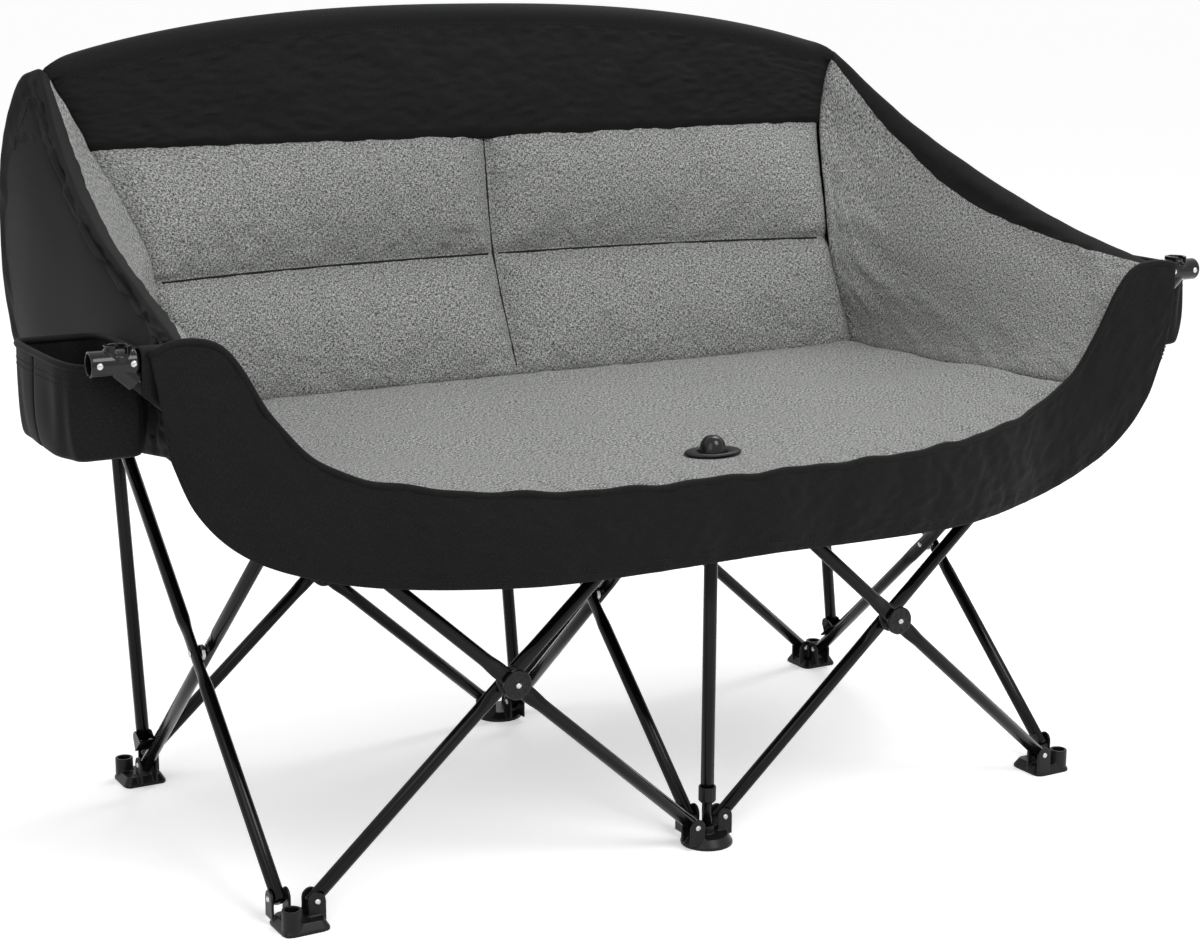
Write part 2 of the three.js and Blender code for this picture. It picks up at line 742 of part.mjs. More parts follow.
function hubDisc() {
  const pinEnd = pressedFace + seatClearance + washerThickness;
  const rim = discFront + discEdge;
  const deep = (y) => vector(0, y, 0);
  return join([
    bar(discDiameter - 2 * discEdge, deep(discFront), deep(rim), discSides, discDiameter),
    bar(discDiameter, deep(rim - 0.01), deep(discBack), discSides),
    bar(rivetDiameter, deep(discFront + 1), deep(pinEnd - 0.5), pinSides),
    bar(rivetHeadDiameter, deep(discFront + 1), deep(discFront - rivetHeadHeight), headSides, rivetDiameter),
    bar(washerDiameter, deep(pressedFace + seatClearance), deep(pinEnd), headSides),
  ]);
}

function hubSpacer() {
  const half = pressedGap - seatClearance;
  const disc = bar(discDiameter, vector(0, -half, 0), vector(0, half, 0), discSides);
  return cut(disc, [bar(rivetHole, vector(0, -half - 1, 0), vector(0, half + 1, 0), pinSides)]);
}

for (const [row, y] of Object.entries(rows)) {
  for (const [side, sign] of [['left', -1], ['right', 1]]) {
    const at = [(sign * bayWidth) / 2, y, crossingHeight];
    place(`${row}_${side}_hub_disc`, toGeometry(hubDisc()), blackPlastic, at);
    place(`${row}_${side}_hub_spacer`, toGeometry(hubSpacer()), blackPlastic, at);
  }
}

// Side pivots: one rivet with a spacer collar between the two pressed side tubes
function sidePivot() {
  const out = pressedFace + seatClearance;
  const half = pressedGap - seatClearance;
  return join([
    bar(rivetDiameter, vector(-out - 0.5, 0, 0), vector(out + 0.5, 0, 0), pinSides),
    bar(sideSpacerDiameter, vector(-half, 0, 0), vector(half, 0, 0)),
    bar(rivetHeadDiameter, vector(out, 0, 0), vector(out + rivetHeadHeight, 0, 0), headSides, rivetDiameter),
    bar(rivetHeadDiameter, vector(-out, 0, 0), vector(-out - rivetHeadHeight, 0, 0), headSides, rivetDiameter),
  ]);
}

for (const column of Object.keys(columns)) {
  const at = [columns[column], (frontRow + rearRow) / 2, crossingHeight];
  place(`${column}_side_pivot`, toGeometry(sidePivot()), brightSteel, at);
}

// Uprights: hinged in a U-bracket on the side tube, leaning back through the rear collar
function saddle(relative) {
  const gap = tubeRadius + slotClearance;
  const basis = new THREE.Matrix4().makeBasis(sideAlong, sideUp, sideAlong.clone().cross(sideUp));
  basis.setPosition(0, sideFoot.y, sideFoot.z);
  const local = (geometry) => solid(geometry.applyMatrix4(basis));
  const floor = tubeRadius + seatClearance;
  const outline = new THREE.Shape();
  outline.moveTo(uprightAlong - saddleLength / 2, floor);
  outline.lineTo(uprightAlong + saddleLength / 2, floor);
  outline.absarc(uprightAlong, uprightOff, earRadius - 1, 0, Math.PI, false);
  const ear = (low) => local(slab(outline, saddleThickness, earSteps).translate(0, 0, low));
  const middle = -relative * layer;
  const wall = gap + saddleThickness;
  const reach = middle > 0 ? [-tubeRadius, middle + wall] : [middle - wall, tubeRadius];
  const floorPlate = new THREE.BoxGeometry(saddleLength, saddleThickness, reach[1] - reach[0]);
  floorPlate.translate(uprightAlong, floor + saddleThickness / 2, (reach[0] + reach[1]) / 2);
  const sunk = gap + saddleThickness / 2;
  const pinAt = (x) => vector(x, uprightPivot.y, uprightPivot.z);
  return join([
    ear(middle - gap - saddleThickness),
    ear(middle + gap),
    local(floorPlate),
    bar(rivetDiameter, pinAt(relative * layer - sunk), pinAt(relative * layer + sunk), pinSides),
  ]);
}

for (const [column, side] of Object.entries(outerSide)) {
  const inner = columns[column] - side * layer;
  place(`${column}_upright_bracket`, toGeometry(saddle(side)), brightSteel, [inner, 0, 0]);
  const top = uprightAt(column === 'middle' ? uprightMidTop : uprightSideTop);
  const bottom = uprightPivot.clone().addScaledVector(uprightLean, -uprightEnd);
  const upright = tube(bottom, top, deepNormal, null, [uprightPivot]);
  place(`${column}_upright`, upright, blackPaint, [columns[column], 0, 0]);
}

// Arm ends: a barrel across the tip, a socket on the tube and a slotted ring on top; cloth sleeves below them
const armSlope = scissorRise / scissorSpan;
const armHeight = (reach) => footPivotHeight + (reach - pivotInsetAcross) * armSlope;
const armAngle = Math.atan2(scissorRise, scissorSpan);
const armTipX = pivotInsetAcross + armReach * Math.cos(armAngle);
const armTip = vector(armTipX, 0, armHeight(armTipX));
const armAlong = vector(Math.cos(armAngle), 0, Math.sin(armAngle));

function armEnd() {
  const barrelHeight = armTip.z + armBarrelLift;
  const barrelInner = armTipX - armBarrelBehind;
  const barrelOuter = armTipX + armBarrelBeyond;
  const ringMiddle = armTipX - armRingBack;
  const barrelAt = (x) => vector(x, 0, barrelHeight);
  const ringAt = (z) => vector(ringMiddle, 0, z);
  const ringTop = barrelHeight + armRingHeight;
  const recessFloor = ringTop - armRingRecess;
  const socketFrom = armTip.clone().addScaledVector(armAlong, -armSocketLength);
  const bore = (tubeDiameter + 4 * seatClearance) / Math.cos(Math.PI / tubeSides);
  const keyhole = armRingBore / 4;
  const alongArm = (distance) => armTip.clone().addScaledVector(armAlong, distance);
  return cut(
    join([
      bar(armBarrelDiameter, barrelAt(barrelInner), barrelAt(barrelOuter)),
      bar(armSocketDiameter, socketFrom, alongArm(armSocketCap)),
      bar(armBarrelDiameter, ringAt(barrelHeight), ringAt(ringTop)),
    ]),
    [
      bar(bore, socketFrom.clone().addScaledVector(armAlong, -1), alongArm(0.5)),
      bar(armBarrelBore, barrelAt(barrelOuter - armBarrelBoreDepth), barrelAt(barrelOuter + 1)),
      bar(armRingBore, ringAt(recessFloor), ringAt(ringTop + 1)),
      block(
        vector(ringMiddle - keyhole, -armBarrelDiameter, recessFloor),
        vector(ringMiddle + keyhole, 0, ringTop + 1),
      ),
    ],
  );
}

function armSleeve() {
  const wide = armAlong.clone().cross(acrossNormal);
  const point = (x) => vector(x, 0, armHeight(x));
  const sleeveTo = armTipX - sleeveBack;
  const sleeveFrom = sleeveTo - sleeveLength;
  const bore = tubeRadius + seatClearance;
  const skin = bore + sleeveThickness;
  return ringLoop([
    tubeRing(point(sleeveFrom), acrossNormal, wide, skin, skin),
    tubeRing(point(sleeveTo), acrossNormal, wide, skin, skin),
    tubeRing(point(sleeveTo), acrossNormal, wide, bore, bore),
    tubeRing(point(sleeveFrom), acrossNormal, wide, bore, bore),
  ]);
}

function mirrored(geometry) {
  const turnedOver = geometry.clone().applyMatrix4(new THREE.Matrix4().makeScale(-1, 1, 1));
  const index = turnedOver.index.array;
  for (let k = 0; k < index.length; k += 3) {
    [index[k + 1], index[k + 2]] = [index[k + 2], index[k + 1]];
  }
  return turnedOver;
}

const rightArmEnd = toGeometry(armEnd());
const rightSleeve = armSleeve();
place('left_arm_end', mirrored(rightArmEnd), glossPlastic, [0, frontRow - layer, 0]);
place('right_arm_end', rightArmEnd, glossPlastic, [0, frontRow + layer, 0]);
place('left_arm_sleeve', mirrored(rightSleeve), blackCloth, [0, frontRow - layer, 0]);
place('right_arm_sleeve', rightSleeve, blackCloth, [0, frontRow + layer, 0]);

// Fabric outlines: smooth curves through the few heights and widths that the bucket is cut to
function curve(knots, at) {
  const last = knots.length - 1;
  const bounded = THREE.MathUtils.clamp(at, knots[0][0], knots[last][0]);
  let k = 0;
  while (k < last - 1 && bounded > knots[k + 1][0]) {
    k += 1;
  }
  const slope = (i) => {
    const a = knots[Math.max(i - 1, 0)];
    const b = knots[Math.min(i + 1, last)];
    return (b[1] - a[1]) / (b[0] - a[0]);
  };
  const [x0, y0] = knots[k];
  const [x1, y1] = knots[k + 1];
  const step = x1 - x0;
  const t = (bounded - x0) / step;
  const smooth = t * t * (3 - 2 * t);
  const rise = slope(k) * step * t * (1 - t) * (1 - t);
  const fall = slope(k + 1) * step * t * t * (1 - t);
  return y0 + (y1 - y0) * smooth + rise - fall;
}

// Back: the face leans with height and its ends come forward; half its width by height
const backLean = [[cushionBottom, 205], [cushionMid, 272], [cushionTop, 302], [backTop, 352]];
const shoulder = cushionMid + cushionShoulder;
const backForward = [[cushionBottom, 30], [shoulder, 66], [cushionTop, -6], [backTop, -6]];
const backHalf = [
  [cushionBottom, seatHalfWidth + 1],
  [shoulder, 484],
  [cushionTop, 527],
  [backTop - backCornerDrop, 572],
  [backTop, 590],
];
const backFace = (x, z) => curve(backLean, z) - curve(backForward, z) * Math.abs(x / backHalfDepth) ** 2.5;

// Pillow profile of one sewn channel: low at its seams, full in the middle
const pillow = (s) => Math.sqrt(Math.max(0, 1 - (2 * s - 1) ** 4));

function backCushion() {
  const height = (v) => (v < 0.5
    ? THREE.MathUtils.lerp(cushionBottom, cushionMid, v * 2)
    : THREE.MathUtils.lerp(cushionMid, cushionTop, v * 2 - 1));
  const half = (s) => (s * 2) % 1;
  const at = (u, v, inward) => {
    const z = height(v);
    const x = (2 * u - 1) * (curve(backHalf, z) - clothGap);
    return vector(x, backFace(x, z) + inward, z);
  };
  const isEdge = (s) => s < 0.25 || s > 0.75;
  const sink = (s) => (isEdge(s) ? cushionEdgeDepth : cushionSeamDepth) * (1 - pillow(half(s)));
  return cloth(
    12,
    8,
    (u, v) => at(u, v, Math.max(sink(u), sink(v))),
    (u, v) => at(u, v, cushionPadding - cushionBackRounding * (2 - pillow(u) - pillow(v))),
  );
}

place('back_cushion', backCushion(), greyCloth);

// Back panel: the black top band in front, over the top edge and down behind the uprights
function backPanel() {
  const topAt = (u) => backTop - backCornerDrop * Math.abs(2 * u - 1) ** 2.4;
  const bandBottom = cushionTop + clothGap;
  const bandShare = 0.4;
  const turnShare = 0.6;
  const spreadShare = (1 - turnShare) / 2;
  const rearLean = [[backShellHem, 325], [shoulder, 352], [cushionTop, 373], [backTop - bandTurn, 391]];
  const profile = (u, v, inward) => {
    const top = topAt(u);
    const x = (z) => (2 * u - 1) * curve(backHalf, z);
    if (v <= bandShare) {
      const z = THREE.MathUtils.lerp(bandBottom, top - bandTurn, v / bandShare);
      return vector(x(z), backFace(x(z), z) + inward * bandThickness, z);
    }
    if (v < turnShare) {
      const angle = Math.PI * (1 - (v - bandShare) / (turnShare - bandShare));
      const z = top - bandTurn;
      const front = backFace(x(z), z) + inward * bandThickness;
      const rear = curve(rearLean, z) - inward * clothThickness;
      const middle = (front + rear) / 2;
      const lift = (bandTurn - inward * bandThickness) * Math.sin(angle);
      return vector(x(z), middle + ((rear - front) / 2) * Math.cos(angle), z + lift);
    }
    const z = THREE.MathUtils.lerp(top - bandTurn, backShellHem, (v - turnShare) / (1 - turnShare));
    const spread = curve(backHalf, top - bandTurn) + backSpread * Math.min(1, (v - turnShare) / spreadShare);
    return vector((2 * u - 1) * spread, curve(rearLean, z) - inward * clothThickness, z);
  };
  return cloth(10, 15, (u, v) => profile(u, v, 0), (u, v) => profile(u, v, 1));
}

place('back_panel', backPanel(), blackCloth);

// Seat: the rim rises to the arms at its ends, the pad is thin where the hub comes through
const rimFront = [[0, -380], [200, -365], [350, -327], [450, -290], [seatHalfWidth, -276], [rimEnd, -272]];
const rimRise = [[0, 0], [200, -2], [350, 4], [450, 21], [seatHalfWidth, 47], [560, 104], [rimEnd, 156]];
const rimHeight = (x) => seatFrontHeight + curve(rimRise, x);
const seatRear = (x) => backFace(x, cushionBottom) - clothGap;
const seatSplit = (frontRow + rearRow) / 2;
const nearHub = (x, y) => Math.exp(-((x / hubPinchAcross) ** 2 + ((y - frontRow) / hubPinchDeep) ** 2));

function seatTop(x, y) {
  const front = curve(rimFront, Math.abs(x));
  const share = THREE.MathUtils.clamp((y - front) / (seatRear(x) - front), 0, 1);
  const side = curve(rimRise, Math.abs(x)) * (1 - share) ** 1.4;
  const sideRear = seatSideRise * share * Math.abs(x / seatHalfWidth) ** 4;
  const level = THREE.MathUtils.lerp(seatFrontHeight, seatRearHeight, share);
  return THREE.MathUtils.lerp(level + side + sideRear, hubDomeFoot + seatAtHub, nearHub(x, y));
}

function seatDepth(x, y) {
  const front = curve(rimFront, Math.abs(x));
  const share = THREE.MathUtils.clamp((y - front) / (seatRear(x) - front), 0, 1);
  const full = seatEdge + (seatPadding - seatEdge) * Math.min(pillow(share), pillow((x / seatHalfWidth + 1) / 2));
  return THREE.MathUtils.lerp(full, seatAtHub, nearHub(x, y) ** 0.4);
}

function seatHalf(isFront) {
  const point = (u, v, isTop) => {
    const x = (2 * u - 1) * seatHalfWidth;
    const from = isFront ? curve(rimFront, Math.abs(x)) + clothGap : seatSplit + clothGap / 2;
    const to = isFront ? seatSplit - clothGap / 2 : seatRear(x);
    const y = THREE.MathUtils.lerp(from, to, v);
    return vector(x, y, seatTop(x, y) - (isTop ? 0 : seatDepth(x, y)));
  };
  return cloth(16, 6, (u, v) => point(u, v, true), (u, v) => point(u, v, false));
}

const hubHole = bar(
  hubDomeDiameter + 2 * domeHoleGap,
  vector(0, frontRow, hubPivotHeight),
  vector(0, frontRow, hubDomeHeight),
  roundSides,
);
place('seat_front', toGeometry(cut(solid(seatHalf(true)), [hubHole])), greyCloth);
place('seat_rear', seatHalf(false), greyCloth);

function ovalRing() {
  const top = hubDomeFoot + seatAtHub + grommetLift;
  const ring = (height, long, wide) => {
    const points = [];
    for (let k = 0; k < roundSides; k += 1) {
      const angle = (k * 2 * Math.PI) / roundSides;
      points.push(vector((long / 2) * Math.cos(angle), frontRow + (wide / 2) * Math.sin(angle), height));
    }
    return points;
  };
  return ringLoop([
    ring(top, grommetLength, grommetWidth),
    ring(top + grommetThickness, grommetLength - grommetEdge, grommetWidth - grommetEdge),
    ring(top + grommetThickness, grommetHole, grommetHole),
    ring(top, grommetHole, grommetHole),
  ]);
}

place('seat_grommet', ovalRing(), blackPlastic);

// Wings: a padded liner up from the seat, over the top edge, and the outer cloth down the other side
const wingStations = [
  { y: 340, top: [574, 886], outer: [[598, 862], [612, 770], [610, 620], [604, backShellHem]] },
  { y: 200, top: [566, 826], outer: [[596, 800], [636, 720], [644, 600], [636, 492]] },
  { y: 40, top: [566, 760], outer: [[592, 738], [634, 670], [644, 590], [640, 508]] },
  { y: -120, top: [582, 697], outer: [[606, 680], [634, 636], [644, 580], [646, 524]] },
  { y: -222, top: [608, 655], outer: [[622, 642], [636, 612], [646, 580], [650, 545]] },
];

function wingCurve(pick, share) {
  const knots = wingStations.map((station, k) => [k / (wingStations.length - 1), pick(station)]);
  return curve(knots, share);
}

function wingFace(share, v, inward) {
  const frontness = share ** 1.5;
  const topX = wingCurve((station) => station.top[0], share);
  const topZ = wingCurve((station) => station.top[1], share);
  const topY = wingCurve((station) => station.y, share);
  if (v <= 0.5) {
    const rise = v / 0.5;
    const seamY = THREE.MathUtils.lerp(seatRear(seatHalfWidth) - clothGap, curve(rimFront, seatHalfWidth), share);
    const seamZ = seatTop(seatHalfWidth, seamY);
    const z = THREE.MathUtils.lerp(seamZ, topZ, rise);
    const rearX = curve(backHalf, z) + clothGap;
    const rearY = backFace(curve(backHalf, z), z);
    const frontX = THREE.MathUtils.lerp(seatHalfWidth + clothGap, topX, rise ** 0.9);
    const frontY = THREE.MathUtils.lerp(seamY, topY, rise);
    const x = THREE.MathUtils.lerp(rearX, frontX, frontness ** 0.5);
    const y = THREE.MathUtils.lerp(rearY, frontY, share ** 0.35);
    const pad = inward * (wingPadding - (wingPadding - wingEdge) * (1 - pillow(rise * 0.9 + 0.05)));
    return vector(x + pad, y, z - inward * wingRimTurn * rise ** 6);
  }
  const fall = (v - 0.5) / 0.5;
  const outerX = [[0, topX]];
  const outerZ = [[0, topZ]];
  for (let k = 0; k < 4; k += 1) {
    outerX.push([(k + 1) / 4, wingCurve((station) => station.outer[k][0], share)]);
    outerZ.push([(k + 1) / 4, wingCurve((station) => station.outer[k][1], share)]);
  }
  const rearward = wingRearBow * (1 - share) * Math.sin(Math.PI * Math.min(1, fall * 0.8));
  const drop = inward * wingRimTurn * (1 - fall) ** 6;
  return vector(curve(outerX, fall) - inward * clothThickness, topY + rearward, curve(outerZ, fall) - drop);
}

const rightWing = cloth(8, 12, (u, v) => wingFace(u, v, 0), (u, v) => wingFace(u, v, 1));
place('left_wing', mirrored(rightWing), greyCloth);
place('right_wing', rightWing, greyCloth);

// Front skirt: hangs from the rim, swelling forward a little, to a hem that climbs at its ends
const hemFront = [[0, -380], [200, -367], [300, -351], [430, -304], [520, -284], [rimEnd, -276], [hemEnd, -274]];
const hemRise = [[0, -87], [200, -93], [300, -94], [430, -89], [520, -69], [585, -37], [630, 13], [hemEnd, 71]];
const hemHeight = (x) => seatFrontHeight + curve(hemRise, x);

function frontSkirt() {
  const point = (u, v, inward) => {
    const side = Math.abs(2 * u - 1);
    const sign = Math.sign(2 * u - 1);
    const rimX = rimEnd * side;
    const hemX = hemEnd * side;
    const x = sign * THREE.MathUtils.lerp(rimX, hemX, v);
    const rimY = curve(rimFront, rimX) - skirtThickness - clothGap;
    const hemY = curve(hemFront, hemX) - skirtThickness;
    const swell = skirtSwell * Math.sin(Math.PI * v) * (1 + 0.35 * Math.cos(rimX / skirtWave));
    const y = THREE.MathUtils.lerp(rimY, hemY, v) - swell + inward * skirtThickness;
    return vector(x, y, THREE.MathUtils.lerp(rimHeight(rimX) + rimLift, hemHeight(hemX), v));
  };
  return cloth(24, 4, (u, v) => point(u, v, 0), (u, v) => point(u, v, 1));
}

place('front_skirt', frontSkirt(), blackCloth);

// Cup holders: soft open pouches outside the wings, behind the arm tubes
function cupHolder(front) {
  const sides = 16;
  const middle = vector(pouchInner + pouchWidth / 2, front + pouchLength / 2, 0);
  const ring = (height, shrink) => {
    const points = [];
    for (let k = 0; k < sides; k += 1) {
      const angle = (k * 2 * Math.PI) / sides;
      const round = (value) => Math.sign(value) * Math.abs(value) ** 0.75;
      const x = middle.x + (pouchWidth / 2 - shrink) * round(Math.cos(angle));
      const y = middle.y + (pouchLength / 2 - shrink) * round(Math.sin(angle));
      points.push(vector(x, y, height));
    }
    return points;
  };
  const belly = (pouchTop + pouchBottom) / 2;
  return cappedRings([
    ring(pouchBottom, pouchTuck),
    ring(pouchBottom + pouchTuckHeight, pouchTuckSide),
    ring(belly, 0),
    ring(pouchTop, pouchMouth),
    ring(pouchTop, pouchMouth + pouchWall),
    ring(belly, pouchWall),
    ring(pouchBottom + pouchTuckHeight + pouchWall, pouchTuckSide + pouchWall),
    ring(pouchBottom + pouchWall, pouchTuck + pouchWall),
  ]);
}

const pouchFront = (armLayer) => frontRow + armLayer * layer + armBarrelDiameter / 2 + clothGap;
place('left_cup_holder', mirrored(cupHolder(pouchFront(-1))), blackCloth);
place('right_cup_holder', cupHolder(pouchFront(1)), blackCloth);

export default loveseat;
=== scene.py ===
"""Folding camping loveseat: a padded cloth bucket slung on a scissor frame of black steel tube."""

import json
import math

import bmesh
import bpy
import numpy as np
from mathutils import Matrix, Vector

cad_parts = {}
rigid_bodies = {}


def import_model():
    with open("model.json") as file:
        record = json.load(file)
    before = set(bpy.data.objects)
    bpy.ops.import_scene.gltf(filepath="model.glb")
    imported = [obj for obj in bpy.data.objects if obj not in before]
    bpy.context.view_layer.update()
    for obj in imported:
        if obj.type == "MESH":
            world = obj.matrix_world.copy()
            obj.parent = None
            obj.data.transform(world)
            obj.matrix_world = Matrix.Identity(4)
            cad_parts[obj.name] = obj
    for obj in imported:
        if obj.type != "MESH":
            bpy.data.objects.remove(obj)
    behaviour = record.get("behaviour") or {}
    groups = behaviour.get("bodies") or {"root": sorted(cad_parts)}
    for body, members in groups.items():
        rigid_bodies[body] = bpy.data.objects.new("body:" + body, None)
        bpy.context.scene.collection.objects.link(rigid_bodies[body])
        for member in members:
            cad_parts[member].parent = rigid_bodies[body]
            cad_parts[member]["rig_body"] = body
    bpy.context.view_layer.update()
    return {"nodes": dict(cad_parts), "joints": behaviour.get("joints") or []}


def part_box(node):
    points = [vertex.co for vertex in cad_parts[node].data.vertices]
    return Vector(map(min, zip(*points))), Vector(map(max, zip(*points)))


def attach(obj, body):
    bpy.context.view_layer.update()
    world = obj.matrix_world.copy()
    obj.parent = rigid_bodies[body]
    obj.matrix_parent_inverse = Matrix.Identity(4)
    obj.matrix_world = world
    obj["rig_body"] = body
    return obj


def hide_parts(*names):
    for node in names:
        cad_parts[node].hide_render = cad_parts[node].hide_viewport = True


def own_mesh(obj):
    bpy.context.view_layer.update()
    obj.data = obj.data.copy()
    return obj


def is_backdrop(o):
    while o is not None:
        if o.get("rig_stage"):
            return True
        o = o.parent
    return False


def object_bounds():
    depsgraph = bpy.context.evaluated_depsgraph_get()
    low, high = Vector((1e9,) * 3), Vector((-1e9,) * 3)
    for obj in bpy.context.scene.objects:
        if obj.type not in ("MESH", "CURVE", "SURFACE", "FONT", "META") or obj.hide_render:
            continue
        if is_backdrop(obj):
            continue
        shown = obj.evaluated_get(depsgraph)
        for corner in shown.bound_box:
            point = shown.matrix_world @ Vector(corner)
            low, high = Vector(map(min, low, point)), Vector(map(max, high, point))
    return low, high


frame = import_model()


# Scissor tubes: 16 mm steel tube, pressed flat in the middle so that two lie close where they are riveted.
# Powder-coated black, satin with a slight orange peel. The two front ones that run on carry the arms.
def pivot(joint):
    return Vector(next(j["pos_m"] for j in frame["joints"] if j["name"] == joint))


def body_of(node):
    return frame["nodes"][node]["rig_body"]


def goes_with(piece, node):
    """The piece rides on the node's body."""
    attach(piece, body_of(node))


def stands_for(piece, node):
    """The piece rides on the node's body and takes the node's place."""
    goes_with(piece, node)
    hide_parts(node)


def bunch(piece):
    """Gives the piece a mesh of its own."""
    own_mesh(piece)


def new_piece(name, points, faces, material, edges=()):
    mesh = bpy.data.meshes.new(name)
    mesh.from_pydata([tuple(p) for p in points], list(edges), [tuple(f) for f in faces])
    mesh.materials.append(material)
    mesh.shade_smooth()
    piece = bpy.data.objects.new(name, mesh)
    bpy.context.scene.collection.objects.link(piece)
    return piece


def facing_out(piece):
    shape = bmesh.new()
    shape.from_mesh(piece.data)
    bmesh.ops.remove_doubles(shape, verts=shape.verts, dist=1e-6)
    bmesh.ops.recalc_face_normals(shape, faces=shape.faces)
    shape.to_mesh(piece.data)
    shape.free()
    return piece


def settle(piece):
    """Turns what the modifiers make into the piece's own plain mesh."""
    depsgraph = bpy.context.evaluated_depsgraph_get()
    made = bpy.data.meshes.new_from_object(piece.evaluated_get(depsgraph))
    piece.modifiers.clear()
    piece.data = made
    return piece


def ring_faces(ring_count, per_ring, first=0):
    faces = []
    for r in range(ring_count - 1):
        for k in range(per_ring):
            a = first + r * per_ring + k
            b = first + r * per_ring + (k + 1) % per_ring
            faces.append((a, b, b + per_ring, a + per_ring))
    return faces


def cap_faces(per_ring, total):
    """The two end faces of a stack of rings."""
    return [tuple(range(per_ring - 1, -1, -1)), tuple(range(total - per_ring, total))]


def closing_faces(per_ring, last):
    """Joins the last ring of a stack, which starts at that point, to the first."""
    return [(last + k, last + (k + 1) % per_ring, (k + 1) % per_ring, k) for k in range(per_ring)]


def capped_rings(name, rings, material):
    per_ring = len(rings[0])
    points = [p for ring in rings for p in ring]
    faces = ring_faces(len(rings), per_ring) + cap_faces(per_ring, len(points))
    return facing_out(new_piece(name, points, faces, material))


def full_turn(steps):
    return np.arange(steps) * 2 * math.pi / steps


def shader(name, colour, roughness):
    material = bpy.data.materials.new(name)
    material.use_nodes = True
    nodes = material.node_tree.nodes
    surface = nodes["Principled BSDF"]
    surface.inputs["Base Color"].default_value = (*colour, 1)
    surface.inputs["Roughness"].default_value = roughness
    return material, nodes, material.node_tree.links, surface


def noise(nodes, links, scale, coordinates, detail=3):
    texture = nodes.new("ShaderNodeTexNoise")
    texture.inputs["Scale"].default_value = scale
    texture.inputs["Detail"].default_value = detail
    links.new(coordinates, texture.inputs["Vector"])
    return texture.outputs["Fac"]


def ramp(nodes, links, value, stops):
    node = nodes.new("ShaderNodeValToRGB")
    for extra in range(len(stops) - 2):
        node.color_ramp.elements.new(0.5)
    for element, (position, colour) in zip(node.color_ramp.elements, stops):
        element.position = position
        element.color = (*colour, 1)
    links.new(value, node.inputs["Fac"])
    return node.outputs["Color"]


def bump(nodes, links, height, distance, strength, surface):
    node = nodes.new("ShaderNodeBump")
    node.inputs["Distance"].default_value = distance
    node.inputs["Strength"].default_value = strength
    links.new(height, node.inputs["Height"])
    links.new(node.outputs["Normal"], surface.inputs["Normal"])
    return node


patch_scale = 60


def speckled(name, dark, light, smooth, rough, peel_scale, peel_depth, specular):
    """A coated or moulded black: small changes of shade and gloss over a fine uneven skin."""
    material, nodes, links, surface = shader(name, light, rough)
    surface.inputs["Specular IOR Level"].default_value = specular
    place = nodes.new("ShaderNodeTexCoord").outputs["Object"]
    patches = noise(nodes, links, patch_scale, place)
    links.new(ramp(nodes, links, patches, [(0.3, dark), (0.7, light)]), surface.inputs["Base Color"])
    gloss = nodes.new("ShaderNodeMapRange")
    gloss.inputs["To Min"].default_value = smooth
    gloss.inputs["To Max"].default_value = rough
    links.new(patches, gloss.inputs["Value"])
    links.new(gloss.outputs["Result"], surface.inputs["Roughness"])
    bump(nodes, links, noise(nodes, links, peel_scale, place), peel_depth, 0.5, surface)
    return material


powder_coat = speckled(
    "black_powder_coat", (0.002, 0.002, 0.0024), (0.004, 0.004, 0.0045), 0.12, 0.2, 700, 0.0001, 0.16
)

both_sides = (("left", -1), ("right", 1))
tube_radius = 0.008
tube_end = 0.006
tube_round = 24
press_steps = 41
pressed_thick = 0.0055
pressed_wide = 0.0095
pressed_half_length = 0.025
press_run_out = 0.026
end_rounding = 0.0012
front_row = pivot("front_left_leg_pivot").y
rear_row = pivot("rear_left_leg_pivot").y
bay_width = 2 * abs(pivot("front_left_leg_pivot").x)
foot_height = pivot("fold").z
hub_height = pivot("front_hub_pivot").z
inset_across = abs(pivot("fold").x)
inset_deep = pivot("left_side_back_pivot").y - front_row
arm_reach = 0.905


def tube_rings(start, end, normal, crossing=None):
    along = (end - start).normalized()
    wide = along.cross(normal)
    length = (end - start).length
    stations = [0, end_rounding, length - end_rounding, length]
    if crossing is not None:
        middle = (crossing - start).length
        reach = pressed_half_length + press_run_out
        stations += list(middle + np.linspace(-reach, reach, press_steps))
    turns = full_turn(tube_round)
    rings = []
    for at in sorted(stations):
        press = 0
        if crossing is not None:
            press = np.clip((reach - abs(at - middle)) / press_run_out, 0, 1)
            press = press * press * (3 - 2 * press)
        skin = end_rounding if at in (0, length) else 0
        thick = tube_radius + (pressed_thick - tube_radius) * press - skin
        broad = tube_radius + (pressed_wide - tube_radius) * press - skin
        at_centre = start + along * at
        ring = [at_centre + normal * (thick * math.sin(t)) + wide * (broad * math.cos(t)) for t in turns]
        rings.append(ring)
    return rings


def frame_tube(node, foot, hub, normal, reach=None):
    along = (hub - foot).normalized()
    end = foot + along * reach if reach else hub + along * tube_end
    rings = tube_rings(foot - along * tube_end, end, normal, (foot + hub) / 2)
    stands_for(capped_rings(node + "_steel", rings, powder_coat), node)


def middle_of(node, axis):
    low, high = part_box(node)
    return (low[axis] + high[axis]) / 2


near = inset_across
far = bay_width - inset_across
across_tubes = [
    ("front_left_leg_tube", -far, -near, None),
    ("left_arm_tube", -near, -far, arm_reach),
    ("right_arm_tube", near, far, arm_reach),
    ("front_right_leg_tube", far, near, None),
    ("rear_left_leg_tube", -far, -near, None),
    ("rear_left_inner_tube", -near, -far, None),
    ("rear_right_inner_tube", near, far, None),
    ("rear_right_leg_tube", far, near, None),
]
for node, foot_x, hub_x, reach in across_tubes:
    y = middle_of(node, 1)
    foot, hub = Vector((foot_x, y, foot_height)), Vector((hub_x, y, hub_height))
    frame_tube(node, foot, hub, Vector((0, 1, 0)), reach)

